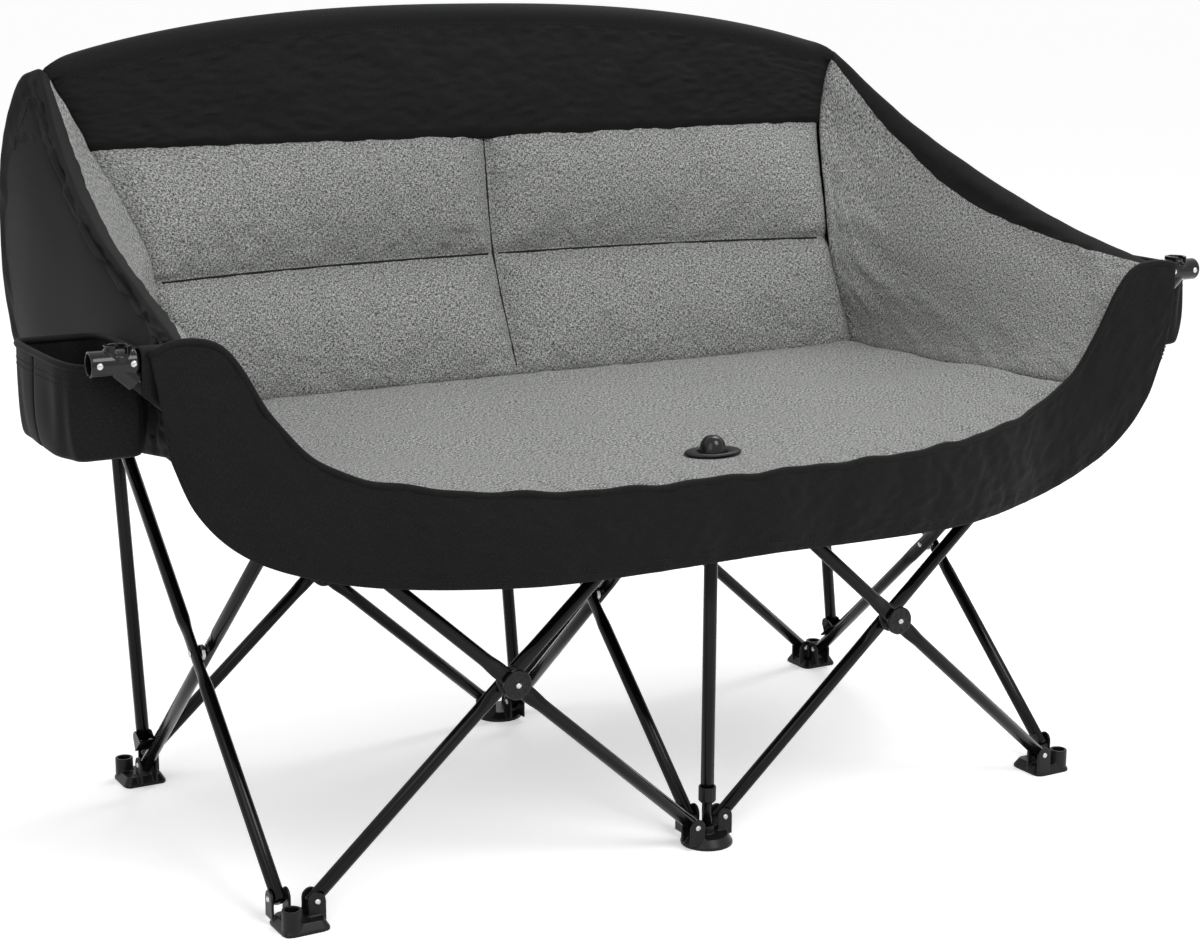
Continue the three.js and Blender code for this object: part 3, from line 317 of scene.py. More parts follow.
columns = {"left": -bay_width, "middle": 0.0, "right": bay_width}
side_front = front_row + inset_deep
side_rear = rear_row - inset_deep
for column in columns:
    for direction, foot_y, hub_y in (("back", side_front, side_rear), ("front", side_rear, side_front)):
        node = f"{column}_side_tube_to_{direction}"
        x = middle_of(node, 0)
        foot, hub = Vector((x, foot_y, foot_height)), Vector((x, hub_y, hub_height))
        frame_tube(node, foot, hub, Vector((1, 0, 0)))


# Uprights and front post: plain tubes of the same stock. The uprights lean back inside the cover.
# The post is a rod fixed in the foot that slides in a tube hung from the top hub.
end_slice = 0.004


def leaning_tube(node):
    points = np.array([v.co for v in frame["nodes"][node].data.vertices])
    low = Vector(points[points[:, 2] < points[:, 2].min() + end_slice].mean(0))
    high = Vector(points[points[:, 2] > points[:, 2].max() - end_slice].mean(0))
    return tube_rings(low, high, Vector((1, 0, 0)))


for column in columns:
    node = f"{column}_upright"
    stands_for(capped_rings(node + "_steel", leaning_tube(node), powder_coat), node)


def upright_round(node, radius):
    low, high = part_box(node)
    middle = (low + high) / 2
    rings = []
    for z, skin in (
        (low.z, end_rounding),
        (low.z + end_rounding, 0),
        (high.z - end_rounding, 0),
        (high.z, end_rounding),
    ):
        size = radius - skin
        circle = [(size * math.cos(t), size * math.sin(t)) for t in full_turn(tube_round)]
        rings.append([Vector((middle.x + x, middle.y + y, z)) for x, y in circle])
    stands_for(capped_rings(node + "_steel", rings, powder_coat), node)


post_rod_radius = 0.006
upright_round("post_rod", post_rod_radius)
upright_round("post_tube", tube_radius)


# Feet: moulded black plastic, a flared base with a pair of ears for each tube that starts there.
# The middle ones are round, the corner ones square with an open socket beside the ears.
black_plastic = speckled(
    "moulded_black_plastic", (0.004, 0.004, 0.0045), (0.008, 0.008, 0.009), 0.3, 0.42, 1600, 0.00012, 0.22
)
overlap = 0.001
ear_thick = 0.003
ear_radius = 0.010
slot_gap = 0.0003
layer = abs(pivot("fold").y - front_row)
base_height = 0.012
lip_height = 0.003
base_flare = 50 / 62
round_base_radius = 0.031
square_base_half = 0.027
square_base_corner = 0.009
corner_shift = 0.007
socket_shift = 0.008
socket_radius = 0.011
socket_bore = 0.008
socket_height = 0.028
post_boss_radius = 0.009
post_boss_height = 0.022
moulding_voxel = 0.0009


def turned(profile, centre, axis=Vector((0, 0, 1)), steps=48):
    """Points and faces of a shape turned about an axis, from (radius, height) pairs that end on it."""
    turn = axis.to_track_quat("Z", "Y").to_matrix()
    points = []
    for radius, height in profile:
        for t in full_turn(steps):
            points.append(centre + turn @ Vector((radius * math.cos(t), radius * math.sin(t), height)))
    return points, ring_faces(len(profile), steps)


def plate(outline, axis, low, high):
    """A flat plate: the outline is (across, height) pairs, the thickness runs along x (0) or y (1)."""
    points = []
    for level in (low, high):
        for across, height in outline:
            points.append(Vector((level, across, height) if axis == 0 else (across, level, height)))
    count = len(outline)
    return points, ring_faces(2, count) + cap_faces(count, 2 * count)


def arc(centre, radius, start, stop, steps=14):
    turns = np.radians(np.linspace(start, stop, steps))
    return [(centre[0] + radius * math.cos(t), centre[1] + radius * math.sin(t)) for t in turns]


def moulding(name, shapes, material, voxel=moulding_voxel):
    """One moulded piece with softened edges, grown together from overlapping shapes."""
    points, faces = [], []
    for shape_points, shape_faces in shapes:
        first = len(points)
        points += list(shape_points)
        faces += [tuple(first + k for k in face) for face in shape_faces]
    piece = facing_out(new_piece(name, points, faces, material))
    remesh = piece.modifiers.new("grown_together", "REMESH")
    remesh.mode = "VOXEL"
    remesh.voxel_size = voxel
    remesh.use_smooth_shade = True
    soften = piece.modifiers.new("softened_edges", "SMOOTH")
    soften.factor = 0.5
    soften.iterations = 3
    settle(piece)
    piece.data.materials.clear()
    piece.data.materials.append(material)
    return piece


def slot_faces(side):
    middle = side * layer
    gap = tube_radius + slot_gap
    return (middle - gap - ear_thick, middle - gap), (middle + gap, middle + gap + ear_thick)


def rounded_square(half, radius, centre, height):
    outline = []
    for quarter, (sx, sy) in enumerate(((1, 1), (-1, 1), (-1, -1), (1, -1))):
        corner = (centre.x + sx * (half - radius), centre.y + sy * (half - radius))
        outline += arc(corner, radius, 90 * quarter, 90 * quarter + 90, 8)
    return [Vector((x, y, height)) for x, y in outline]


def base_of_foot(column, at, toward_x, toward_y):
    flared = ((1, 0), (1, lip_height), (base_flare, base_height))
    if column == "middle":
        profile = [(0, 0)] + [(round_base_radius * s, z) for s, z in flared] + [(0, base_height)]
        return [turned(profile, at)]
    centre = at + Vector((toward_x, toward_y, 0)) * corner_shift
    rings = [rounded_square(square_base_half * s, square_base_corner * s, centre, z) for s, z in flared]
    count = len(rings[0])
    faces = ring_faces(3, count) + [tuple(range(count)), tuple(range(2 * count, 3 * count))]
    socket = [(0, overlap), (socket_radius, overlap), (socket_radius, socket_height)]
    socket += [(socket_bore, socket_height), (socket_bore, base_height + overlap), (0, base_height + overlap)]
    socket_at = at - Vector((toward_x, toward_y, 0)) * socket_shift
    return [([p for ring in rings for p in ring], faces), turned(socket, socket_at)]


def foot_ears(at, slots):
    shapes = []
    for axis, toward, side in slots:
        centre = at[1 - axis] + toward * (inset_across if axis == 1 else inset_deep)
        outline = [(centre + ear_radius, base_height / 2)]
        outline += arc((centre, foot_height), ear_radius, 0, 180) + [(centre - ear_radius, base_height / 2)]
        for low, high in slot_faces(side):
            shapes.append(plate(outline, axis, at[axis] + low, at[axis] + high))
    return shapes


foot_slots = {
    "front_left": [(1, 1, 1), (0, 1, -1)],
    "front_middle": [(1, -1, -1), (1, 1, 1), (0, 1, -1)],
    "front_right": [(1, -1, -1), (0, 1, 1)],
    "rear_left": [(1, 1, 1), (0, -1, 1)],
    "rear_middle": [(1, -1, -1), (1, 1, 1), (0, -1, 1)],
    "rear_right": [(1, -1, -1), (0, -1, -1)],
}
foot_places = {}
for foot, slots in foot_slots.items():
    row, column = foot.split("_")
    node = foot + "_foot"
    at = Vector((columns[column], front_row if row == "front" else rear_row, 0))
    foot_places[foot] = at
    toward_x = -np.sign(columns[column])
    shapes = base_of_foot(column, at, toward_x, 1 if row == "front" else -1) + foot_ears(at, slots)
    if foot == "front_middle":
        boss = [(0, lip_height), (post_boss_radius, lip_height), (post_boss_radius, post_boss_height)]
        shapes.append(turned(boss + [(0, post_boss_height)], at))
    stands_for(moulding(node + "_moulding", shapes, black_plastic), node)


# Scissor hubs: a moulded disc with a ring of shallow dimples over each crossing, and a plain spacer
# between the tubes. One rivet holds disc, both tubes and spacer together.
disc_radius = 0.017
disc_thick = 0.005
disc_edge = 0.0014
dimple_count = 8
dimple_ring = 0.0112
dimple_radius = 0.0026
dimple_depth = 0.0011
dimple_slope = 0.0007
boss_radius = 0.0066
boss_height = 0.0008
boss_slope = 0.0006
disc_centre = 0.0005
disc_rings, disc_round = 30, 112
spacer_edge = 0.001
spacer_lip = 0.0008


def dimpled_disc(centre, back, front):
    """Front face as rings of points sunk at each dimple, raised round the rivet, closed by the back."""
    radii = list(np.linspace(disc_centre, disc_radius - disc_edge, disc_rings))
    radii += [disc_radius - disc_edge * 0.3, disc_radius]
    turns = full_turn(disc_round)
    points = []
    for radius in radii:
        for t in turns:
            x, z = radius * math.cos(t), radius * math.sin(t)
            step = 2 * math.pi / dimple_count
            nearest = round(t / step) * step
            off = math.hypot(x - dimple_ring * math.cos(nearest), z - dimple_ring * math.sin(nearest))
            sunk = dimple_depth * np.clip((dimple_radius - off) / dimple_slope, 0, 1)
            raised = boss_height * np.clip((boss_radius - radius) / boss_slope, 0, 1)
            edge = disc_edge * np.clip((radius - disc_radius + disc_edge) / disc_edge, 0, 1) ** 2
            points.append(Vector((centre.x + x, front + sunk - raised + edge, centre.z + z)))
    rim = [(disc_radius * math.cos(t), disc_radius * math.sin(t)) for t in turns]
    points += [Vector((centre.x + x, back, centre.z + z)) for x, z in rim]
    return points, ring_faces(len(radii) + 1, disc_round) + cap_faces(disc_round, len(points))


hub_places = {}
for row, y in (("front", front_row), ("rear", rear_row)):
    for side, sign in both_sides:
        node = f"{row}_{side}_hub_disc"
        _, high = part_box(node)
        centre = Vector((sign * bay_width / 2, y, (foot_height + hub_height) / 2))
        back = y - layer - pressed_thick - slot_gap
        front = back - disc_thick
        rivet_ends = [Vector((centre.x, at, centre.z)) for at in (front - boss_height, high.y)]
        hub_places[node] = rivet_ends
        spacer = f"{row}_{side}_hub_spacer"
        low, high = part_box(spacer)
        inset = disc_radius - spacer_edge
        profile = [(0, low.y), (inset, low.y), (disc_radius, low.y + spacer_lip)]
        profile += [(disc_radius, high.y - spacer_lip), (inset, high.y), (0, high.y)]
        spacer_shape = turned(profile, Vector((centre.x, 0, centre.z)), Vector((0, 1, 0)))
        for part, shape in ((node, dimpled_disc(centre, back, front)), (spacer, spacer_shape)):
            piece = facing_out(new_piece(part + "_moulding", *shape, black_plastic))
            stands_for(piece, part)


# Hub, brackets, collars: moulded plastic clevises and black painted steel saddles, mostly under the cloth.
# They keep the solids' shapes, with broken edges.
zinc, zinc_nodes, zinc_links, zinc_surface = shader("bright_zinc", (0.55, 0.55, 0.56), 0.28)
zinc_surface.inputs["Metallic"].default_value = 1
zinc_place = zinc_nodes.new("ShaderNodeTexCoord").outputs["Object"]
zinc_shades = [(0.35, (0.42, 0.42, 0.43)), (0.65, (0.62, 0.62, 0.63))]
zinc_tint = ramp(zinc_nodes, zinc_links, noise(zinc_nodes, zinc_links, 180, zinc_place), zinc_shades)
zinc_links.new(zinc_tint, zinc_surface.inputs["Base Color"])
bump(zinc_nodes, zinc_links, noise(zinc_nodes, zinc_links, 1200, zinc_place), 0.0001, 0.4, zinc_surface)

broken_edge = 0.0007


def dress(node, material):
    solid = frame["nodes"][node]
    solid.data.materials.clear()
    solid.data.materials.append(material)
    weld = solid.modifiers.new("weld", "WELD")
    weld.merge_threshold = 1e-5
    edges = solid.modifiers.new("broken_edges", "BEVEL")
    edges.width = broken_edge
    edges.segments = 2
    edges.limit_method = "ANGLE"
    edges.angle_limit = math.radians(40)


for node in ("front_centre_hub", "front_left_bracket", "front_right_bracket", "post_collar"):
    dress(node, black_plastic)
for column in columns:
    dress(f"rear_{column}_collar", black_plastic)
    dress(f"{column}_upright_bracket", powder_coat)
    dress(f"{column}_side_pivot", zinc)


# Rivets: bright domed steel heads, one at each end of every pin through the feet's ears and the hubs.
# One pattern sets a head at each marked point, turned the way the pin runs.
rivet_head = 0.0072
rivet_dome = 0.0021


def ball_pattern(name, taken, sizes, segments, rings, axis, marks):
    """A pattern that sets a stretched ball at each mark, its axis turned the way the mark runs."""
    tree = bpy.data.node_groups.new(name, "GeometryNodeTree")
    add, link = tree.nodes.new, tree.links.new
    sockets = {}
    labels = [(taken, "Geometry")] + [(label, "Float") for label in sizes] + [("Finish", "Material")]
    for label, kind in labels:
        socket = tree.interface.new_socket(label, in_out="INPUT", socket_type="NodeSocket" + kind)
        sockets[label] = socket.identifier
    tree.interface.new_socket("Balls", in_out="OUTPUT", socket_type="NodeSocketGeometry")
    given = add("NodeGroupInput").outputs
    places, way, extents = marks(add, link, given)
    ball = add("GeometryNodeMeshUVSphere")
    for label, value in (("Segments", segments), ("Rings", rings), ("Radius", 0.5)):
        ball.inputs[label].default_value = value
    size = add("ShaderNodeCombineXYZ")
    for label, value in zip("XYZ", extents):
        link(value, size.inputs[label])
    stretched = add("GeometryNodeTransform")
    link(ball.outputs["Mesh"], stretched.inputs["Geometry"])
    link(size.outputs["Vector"], stretched.inputs["Scale"])
    turn = add("FunctionNodeAlignRotationToVector")
    turn.axis = axis
    link(way, turn.inputs["Vector"])
    spread = add("GeometryNodeInstanceOnPoints")
    link(places, spread.inputs["Points"])
    link(stretched.outputs["Geometry"], spread.inputs["Instance"])
    link(turn.outputs["Rotation"], spread.inputs["Rotation"])
    real = add("GeometryNodeRealizeInstances")
    link(spread.outputs["Instances"], real.inputs["Geometry"])
    painted = add("GeometryNodeSetMaterial")
    link(real.outputs["Geometry"], painted.inputs["Geometry"])
    link(given["Finish"], painted.inputs["Material"])
    link(painted.outputs["Geometry"], add("NodeGroupOutput").inputs["Balls"])
    return tree, sockets


def patterned(piece, pattern, values):
    """Runs a pattern on the piece's marks and keeps what it makes."""
    tree, sockets = pattern
    maker = piece.modifiers.new(tree.name, "NODES")
    maker.node_group = tree
    for label, value in values.items():
        maker[sockets[label]] = value
    settle(piece)
    piece.data.shade_smooth()


def rivet_marks(add, link, given):
    facing = add("GeometryNodeInputNamedAttribute")
    facing.data_type = "FLOAT_VECTOR"
    facing.inputs["Name"].default_value = "facing"
    double = add("ShaderNodeMath")
    double.operation = "MULTIPLY"
    double.inputs[1].default_value = 2
    link(given["Dome height"], double.inputs[0])
    extents = (given["Head diameter"], given["Head diameter"], double.outputs[0])
    return given["Places"], facing.outputs["Attribute"], extents


rivet_sizes = {"Head diameter": rivet_head, "Dome height": rivet_dome}
rivet_pattern = ball_pattern("rivet_heads", "Places", rivet_sizes, 16, 8, "Z", rivet_marks)


def rivets(name, body, places):
    piece = new_piece(name, [p for p, _ in places], [], zinc)
    facing = piece.data.attributes.new("facing", "FLOAT_VECTOR", "POINT")
    facing.data.foreach_set("vector", [c for _, way in places for c in way])
    patterned(piece, rivet_pattern, {**rivet_sizes, "Finish": zinc})
    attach(piece, body)


for foot, slots in foot_slots.items():
    places = []
    for axis, toward, side in slots:
        (low, _), (_, high) = slot_faces(side)
        for level, way in ((low, -1), (high, 1)):
            point = foot_places[foot].copy()
            point[1 - axis] += toward * (inset_across if axis == 1 else inset_deep)
            point[axis] += level
            point.z = foot_height
            facing = Vector((0, 0, 0))
            facing[axis] = way
            places.append((point, facing))
    rivets(foot + "_foot_rivets", body_of(foot + "_foot"), places)

for node, (front, back) in hub_places.items():
    rivets(node + "_rivet", body_of(node), [(front, Vector((0, -1, 0))), (back, Vector((0, 1, 0)))])


# Arm ends: gloss black barrels across the tips of the arm tubes, open at the outer end,
# with a slotted ring on top and two small screws.
gloss_plastic = speckled(
    "gloss_black_plastic", (0.004, 0.004, 0.0045), (0.007, 0.007, 0.008), 0.12, 0.2, 500, 0.0001, 0.3
)
barrel_radius = 0.0135
barrel_inner = 0.676
barrel_outer = 0.725
barrel_edge = 0.003
barrel_lip = 0.001
barrel_lift = 0.002
barrel_bore = 0.010
barrel_bore_depth = 0.016
arm_socket_radius = 0.012
arm_socket_length = 0.026
arm_socket_end = 0.003
screw_places = (barrel_inner + 0.007, barrel_outer - 0.008)
screw_sink = 0.0006
ring_steps = 40
ring_sink = 0.002
ring_floor = 0.004
ring_at = 0.695
ring_rise = 0.018
ring_recess = 0.009
ring_bore = 0.0095
ring_slot = 27
arm_end_voxel = 0.0007
arm_way = Vector((far - near, 0, hub_height - foot_height)).normalized()


def arm_end_shapes(sign, y):
    """The shapes that an arm end is grown from; sign is -1 on the left arm."""
    tip = Vector((near, 0, foot_height)) + arm_way * arm_reach
    height = tip.z + barrel_lift
    out = Vector((sign, 0, 0))
    start = Vector((0, y, height))
    bottom = barrel_outer - barrel_bore_depth
    barrel = [(0, barrel_inner), (barrel_radius - barrel_edge, barrel_inner)]
    barrel += [(barrel_radius, barrel_inner + barrel_edge), (barrel_radius, barrel_outer - barrel_lip)]
    barrel += [(barrel_radius - barrel_lip, barrel_outer)]
    barrel += [(barrel_bore, barrel_outer), (barrel_bore, bottom), (0, bottom)]
    along = Vector((sign * arm_way.x, 0, arm_way.z))
    foot = Vector((sign * near, y, foot_height))
    socket = [(0, arm_reach - arm_socket_length), (arm_socket_radius, arm_reach - arm_socket_length)]
    socket += [(arm_socket_radius, arm_reach + arm_socket_end), (0, arm_reach + arm_socket_end)]
    ring_foot = height + ring_recess - ring_sink
    ring_top = height + ring_rise
    outline = arc((sign * ring_at, y), barrel_radius, -90 + ring_slot, 270 - ring_slot, ring_steps)
    outline += arc((sign * ring_at, y), ring_bore, 270 - ring_slot, -90 + ring_slot, ring_steps)
    count = len(outline)
    points = [Vector((px, py, z)) for z in (ring_foot, ring_top) for px, py in outline]
    faces = ring_faces(2, count)
    half = count // 2
    for level in (0, count):
        for k in range(half - 1):
            faces.append((level + k, level + k + 1, level + count - 2 - k, level + count - 1 - k))
    floor_low, floor_high = ring_foot - ring_floor, ring_foot + overlap
    floor = [(0, floor_low), (barrel_radius, floor_low), (barrel_radius, floor_high), (0, floor_high)]
    return [
        turned(barrel, start, out),
        turned(socket, foot, along),
        turned(floor, Vector((sign * ring_at, y, 0))),
        (points, faces),
    ]


for side, sign in both_sides:
    node = side + "_arm_end"
    y = middle_of(side + "_arm_tube", 1)
    piece = moulding(node + "_moulding", arm_end_shapes(sign, y), gloss_plastic, arm_end_voxel)
    stands_for(piece, node)
    height = foot_height + arm_way.z * arm_reach + barrel_lift
    heads = [Vector((sign * x, y - barrel_radius + screw_sink, height)) for x in screw_places]
    rivets(node + "_screws", body_of(node), [(head, Vector((0, -1, 0))) for head in heads])


# Seat: one padded pad of grey melange cloth, sewn to the rim in front, to the back and to the wings.
# It is drawn down to a plastic eyelet where the centre hub's dome comes through; black cloth lies below.
def curve(knots, at):
    """A smooth line through (place, value) knots, in millimetres."""
    places, values = np.array(knots, float).T
    index = np.arange(len(places))
    before, after = np.maximum(index - 1, 0), np.minimum(index + 1, len(places) - 1)
    slopes = (values[after] - values[before]) / (places[after] - places[before])
    at = np.clip(at, places[0], places[-1])
    k = np.clip(np.searchsorted(places, at, side="left") - 1, 0, len(places) - 2)
    step = places[k + 1] - places[k]
    t = (at - places[k]) / step
    smooth = t * t * (3 - 2 * t)
    rise = slopes[k] * step * t * (1 - t) ** 2 - slopes[k + 1] * step * t * t * (1 - t)
    return values[k] + (values[k + 1] - values[k]) * smooth + rise


def pillow(s):
    """Low at both seams, full between them."""
    return np.sqrt(np.maximum(0, 1 - (2 * s - 1) ** 4))


def lattice(across, along):
    return np.meshgrid(np.linspace(0, 1, across), np.linspace(0, 1, along), indexing="ij")


def cloth_mapping(points):
    """Distances along the threads, in metres, for a lattice of points."""
    rows = np.linalg.norm(np.diff(points, axis=0), axis=2).mean(1)
    ranks = np.linalg.norm(np.diff(points, axis=1), axis=2).mean(0)
    u = np.concatenate([[0], np.cumsum(rows)])
    v = np.concatenate([[0], np.cumsum(ranks)])
    return np.stack(np.meshgrid(u, v, indexing="ij"), axis=2)


def pinned_seams(shape, rows=(0, -1), ranks=(0, -1)):
    """Marks the lattice points on a panel's seams: these rows across it and ranks along it."""
    pins = np.zeros(shape, bool)
    pins[list(rows), :] = True
    pins[:, list(ranks)] = True
    return pins


settling_frames = 18
unevenness = 0.0012
unevenness_seed = 3


def relax(points, pinned, pressure, slack, cap):
    """Lets a sewn panel with spare cloth settle: pinned along its seams, blown out a little between."""
    across, along, _ = points.shape
    start = points.reshape(-1, 3)
    cells = [
        (i * along + j, (i + 1) * along + j, (i + 1) * along + j + 1, i * along + j + 1)
        for i in range(across - 1)
        for j in range(along - 1)
    ]
    shake = np.random.default_rng(unevenness_seed).normal(0, unevenness, start.shape)
    shaken = start + shake * (~pinned.reshape(-1, 1))
    panel = new_piece("panel_under_way", shaken, cells, grey_melange)
    seams = panel.vertex_groups.new(name="seams")
    seams.add([int(k) for k in np.flatnonzero(pinned.ravel())], 1.0, "REPLACE")
    cloth = panel.modifiers.new("cloth", "CLOTH")
    fabric = cloth.settings
    fabric.vertex_group_mass = "seams"
    fabric.quality = 6
    fabric.mass = 0.15
    fabric.air_damping = 4
    fabric.tension_stiffness = 18
    fabric.compression_stiffness = 18
    fabric.shear_stiffness = 6
    fabric.bending_stiffness = 0.25
    fabric.use_pressure = True
    fabric.uniform_pressure_force = pressure
    fabric.shrink_min = -slack
    fabric.effector_weights.gravity = 0
    cloth.collision_settings.use_collision = False
    cloth.point_cache.frame_start = 1
    cloth.point_cache.frame_end = settling_frames
    scene = bpy.context.scene
    for step in range(1, settling_frames + 1):
        scene.frame_set(step)
    depsgraph = bpy.context.evaluated_depsgraph_get()
    settled = panel.evaluated_get(depsgraph).data
    moved = np.zeros(len(start) * 3, np.float32)
    settled.vertices.foreach_get("co", moved)
    scene.frame_set(1)
    bpy.data.objects.remove(panel)
    offset = moved.reshape(-1, 3) - start
    far = np.linalg.norm(offset, axis=1, keepdims=True)
    offset *= cap * np.tanh(far / cap) / np.maximum(far, 1e-9)
    return (start + offset).reshape(points.shape)


def thread_layer(piece, uv):
    """Gives each corner of the piece's faces its point's place along the threads."""
    corners = np.zeros(len(piece.data.loops), np.int32)
    piece.data.loops.foreach_get("vertex_index", corners)
    layer_uv = piece.data.uv_layers.new(name="threads")
    layer_uv.data.foreach_set("uv", uv[corners].astype(np.float32).ravel())


def sewn(name, face, back, materials, paint=None, keep=None):
    """A closed piece of cloth: its face and its back over one lattice, walled along every open edge.
    The back is of the last material; paint picks the material of each cell of the face."""
    across, along, _ = face.shape
    count = across * along
    back_paint = len(materials) - 1
    if paint is None:
        paint = np.zeros((across - 1, along - 1), int)
    points = np.concatenate([face.reshape(-1, 3), back.reshape(-1, 3)])
    uv = np.concatenate([cloth_mapping(face).reshape(-1, 2)] * 2)
    faces, slots, edges = [], [], {}
    for i in range(across - 1):
        for j in range(along - 1):
            if keep is not None and not keep[i, j]:
                continue
            ring = (i * along + j, (i + 1) * along + j, (i + 1) * along + j + 1, i * along + j + 1)
            faces.append(ring)
            slots.append(int(paint[i, j]))
            faces.append(tuple(count + k for k in reversed(ring)))
            slots.append(back_paint)
            for a, b in zip(ring, ring[1:] + ring[:1]):
                key = (min(a, b), max(a, b))
                edges[key] = None if key in edges else (a, b, int(paint[i, j]))
    for edge in edges.values():
        if edge:
            a, b, slot = edge
            faces.append((b, a, count + a, count + b))
            slots.append(slot)
    piece = new_piece(name, points, faces, materials[0])
    for material in materials[1:]:
        piece.data.materials.append(material)
    piece.data.polygons.foreach_set("material_index", slots)
    thread_layer(piece, uv)
    drop_loose(piece)
    rounder = piece.modifiers.new("rounded", "SUBSURF")
    rounder.levels = 1
    rounder.render_levels = 1
    return settle(piece)


def drop_loose(piece):
    shape = bmesh.new()
    shape.from_mesh(piece.data)
    loose = [v for v in shape.verts if not v.link_faces]
    bmesh.ops.delete(shape, geom=loose, context="VERTS")
    shape.to_mesh(piece.data)
    shape.free()


def threads(nodes, links, stretch, place):
    mapping = nodes.new("ShaderNodeMapping")
    mapping.inputs["Scale"].default_value = stretch
    links.new(place, mapping.inputs["Vector"])
    return mapping.outputs["Vector"]


def blend_of(nodes, links, operation, first, second):
    node = nodes.new("ShaderNodeMath")
    node.operation = operation
    for socket, value in zip(node.inputs, (first, second)):
        if isinstance(value, (int, float)):
            socket.default_value = value
        else:
            links.new(value, socket)
    return node.outputs[0]


sheen_roughness = 0.45
waves_per_thread, wave_wander = 0.314, 1.2
yarn_relief, weave_strength = 1.5, 0.6


def woven(name, stops, pitch, slub, roughness, sheen, specular, depth):
    """A woven cloth: slubs of lighter and darker yarn run both ways, over a fine plain weave."""
    material, nodes, links, surface = shader(name, stops[1][1], roughness)
    place = nodes.new("ShaderNodeUVMap")
    place.uv_map = "threads"
    place = place.outputs["UV"]
    warp = noise(nodes, links, 1, threads(nodes, links, (slub[0], slub[1], 1), place), 4)
    weft = noise(nodes, links, 1, threads(nodes, links, (slub[1], slub[0], 1), place), 4)
    yarns = blend_of(nodes, links, "ADD", warp, weft)
    yarns = blend_of(nodes, links, "MULTIPLY", yarns, 0.5)
    links.new(ramp(nodes, links, yarns, stops), surface.inputs["Base Color"])
    surface.inputs["Sheen Weight"].default_value = sheen
    surface.inputs["Sheen Roughness"].default_value = sheen_roughness
    surface.inputs["Specular IOR Level"].default_value = specular
    heights = []
    for direction in ("X", "Y"):
        wave = nodes.new("ShaderNodeTexWave")
        wave.bands_direction = direction
        wave.inputs["Scale"].default_value = waves_per_thread / pitch
        wave.inputs["Distortion"].default_value = wave_wander
        links.new(place, wave.inputs["Vector"])
        heights.append(wave.outputs["Fac"])
    weave = blend_of(nodes, links, "MULTIPLY", *heights)
    weave = blend_of(nodes, links, "ADD", weave, blend_of(nodes, links, "MULTIPLY", yarns, yarn_relief))
    bump(nodes, links, weave, depth, weave_strength, surface)
    return material


grey_melange = woven(
    "grey_melange_cloth",
    [(0.43, (0.045, 0.047, 0.045)), (0.5, (0.19, 0.196, 0.189)), (0.57, (0.42, 0.425, 0.41))],
    0.0012, (860, 250), 0.92, 0.1, 0.2, 0.0002,
)
black_polyester = woven(
    "black_polyester_cloth",
    [(0.38, (0.004, 0.004, 0.0045)), (0.5, (0.0065, 0.0065, 0.007)), (0.62, (0.011, 0.011, 0.012))],
    0.0009, (900, 300), 0.7, 0.02, 0.09, 0.0001,
)

millimetre = 0.001
cloth_gap = 0.6
seat_half = 504
seat_front_level = 469
seat_rear_level = 487
seat_padding = 24
seat_edge = 7
hub_level = 467.2
hub_pinch = 4.2
cushion_low, cushion_mid, cushion_high = 489, 634, 791
back_top = 955
back_lean = [[cushion_low, 205], [cushion_mid, 272], [cushion_high, 302], [back_top, 352]]
back_forward = [[cushion_low, 30], [646, 66], [cushion_high, -6], [back_top, -6]]
back_half = [[cushion_low, seat_half + 1], [646, 484], [cushion_high, 527], [893, 572], [back_top, 590]]
rim_front = [[0, -380], [200, -365], [350, -327], [450, -290], [seat_half, -276], [612, -270], [668, -270]]
rim_level = [[0, seat_front_level], [200, 467], [350, 473], [450, 490], [seat_half, 516], [545, 563]]
rim_level += [[572, 610], [592, 634], [612, 644], [636, 646], [668, 638]]
seam_tuck = 10
side_seam_drop, rear_seam_drop = 4, 3
rear_tuck = 2.5 * seam_tuck
least_padding = 2
rear_corner_rise = 10
pinch_across, pinch_deep = 70, 60
eyelet_hold = 42
pucker_run, pucker_width, pucker_depth = 22, 7.5, 3
fold_depth = 5
front_row_mm = front_row / millimetre
seat_split = (front_row + rear_row) / 2 / millimetre
eyelet_hole = 18


def back_face(x, z):
    return curve(back_lean, z) - curve(back_forward, z) * np.abs(x / 500) ** 2.5


def seat_rear_edge(x):
    return back_face(x, cushion_low) - cloth_gap


def near_hub(x, y):
    return np.exp(-((x / pinch_across) ** 2 + ((y - front_row_mm) / pinch_deep) ** 2))


def seat_share(x, y):
    front = curve(rim_front, np.abs(x))
    return np.clip((y - front) / (seat_rear_edge(x) - front), 0, 1)


def seat_level(x, y):
    share = seat_share(x, y)
    side = (curve(rim_level, np.abs(x)) - seat_front_level) * (1 - share) ** 1.4
    rear = rear_corner_rise * share * np.abs(x / seat_half) ** 4
    level = seat_front_level + (seat_rear_level - seat_front_level) * share + side + rear
    pinch = near_hub(x, y)
    return level + (hub_level - level) * pinch


def seat_thickness(x, y):
    fullness = np.minimum(pillow(seat_share(x, y)), pillow((x / seat_half + 1) / 2))
    full = seat_edge + (seat_padding - seat_edge) * fullness
    return full + (hub_pinch - full) * near_hub(x, y) ** 0.4


def to_metres(x, y, z):
    return np.stack([x, y, z], axis=2) * millimetre


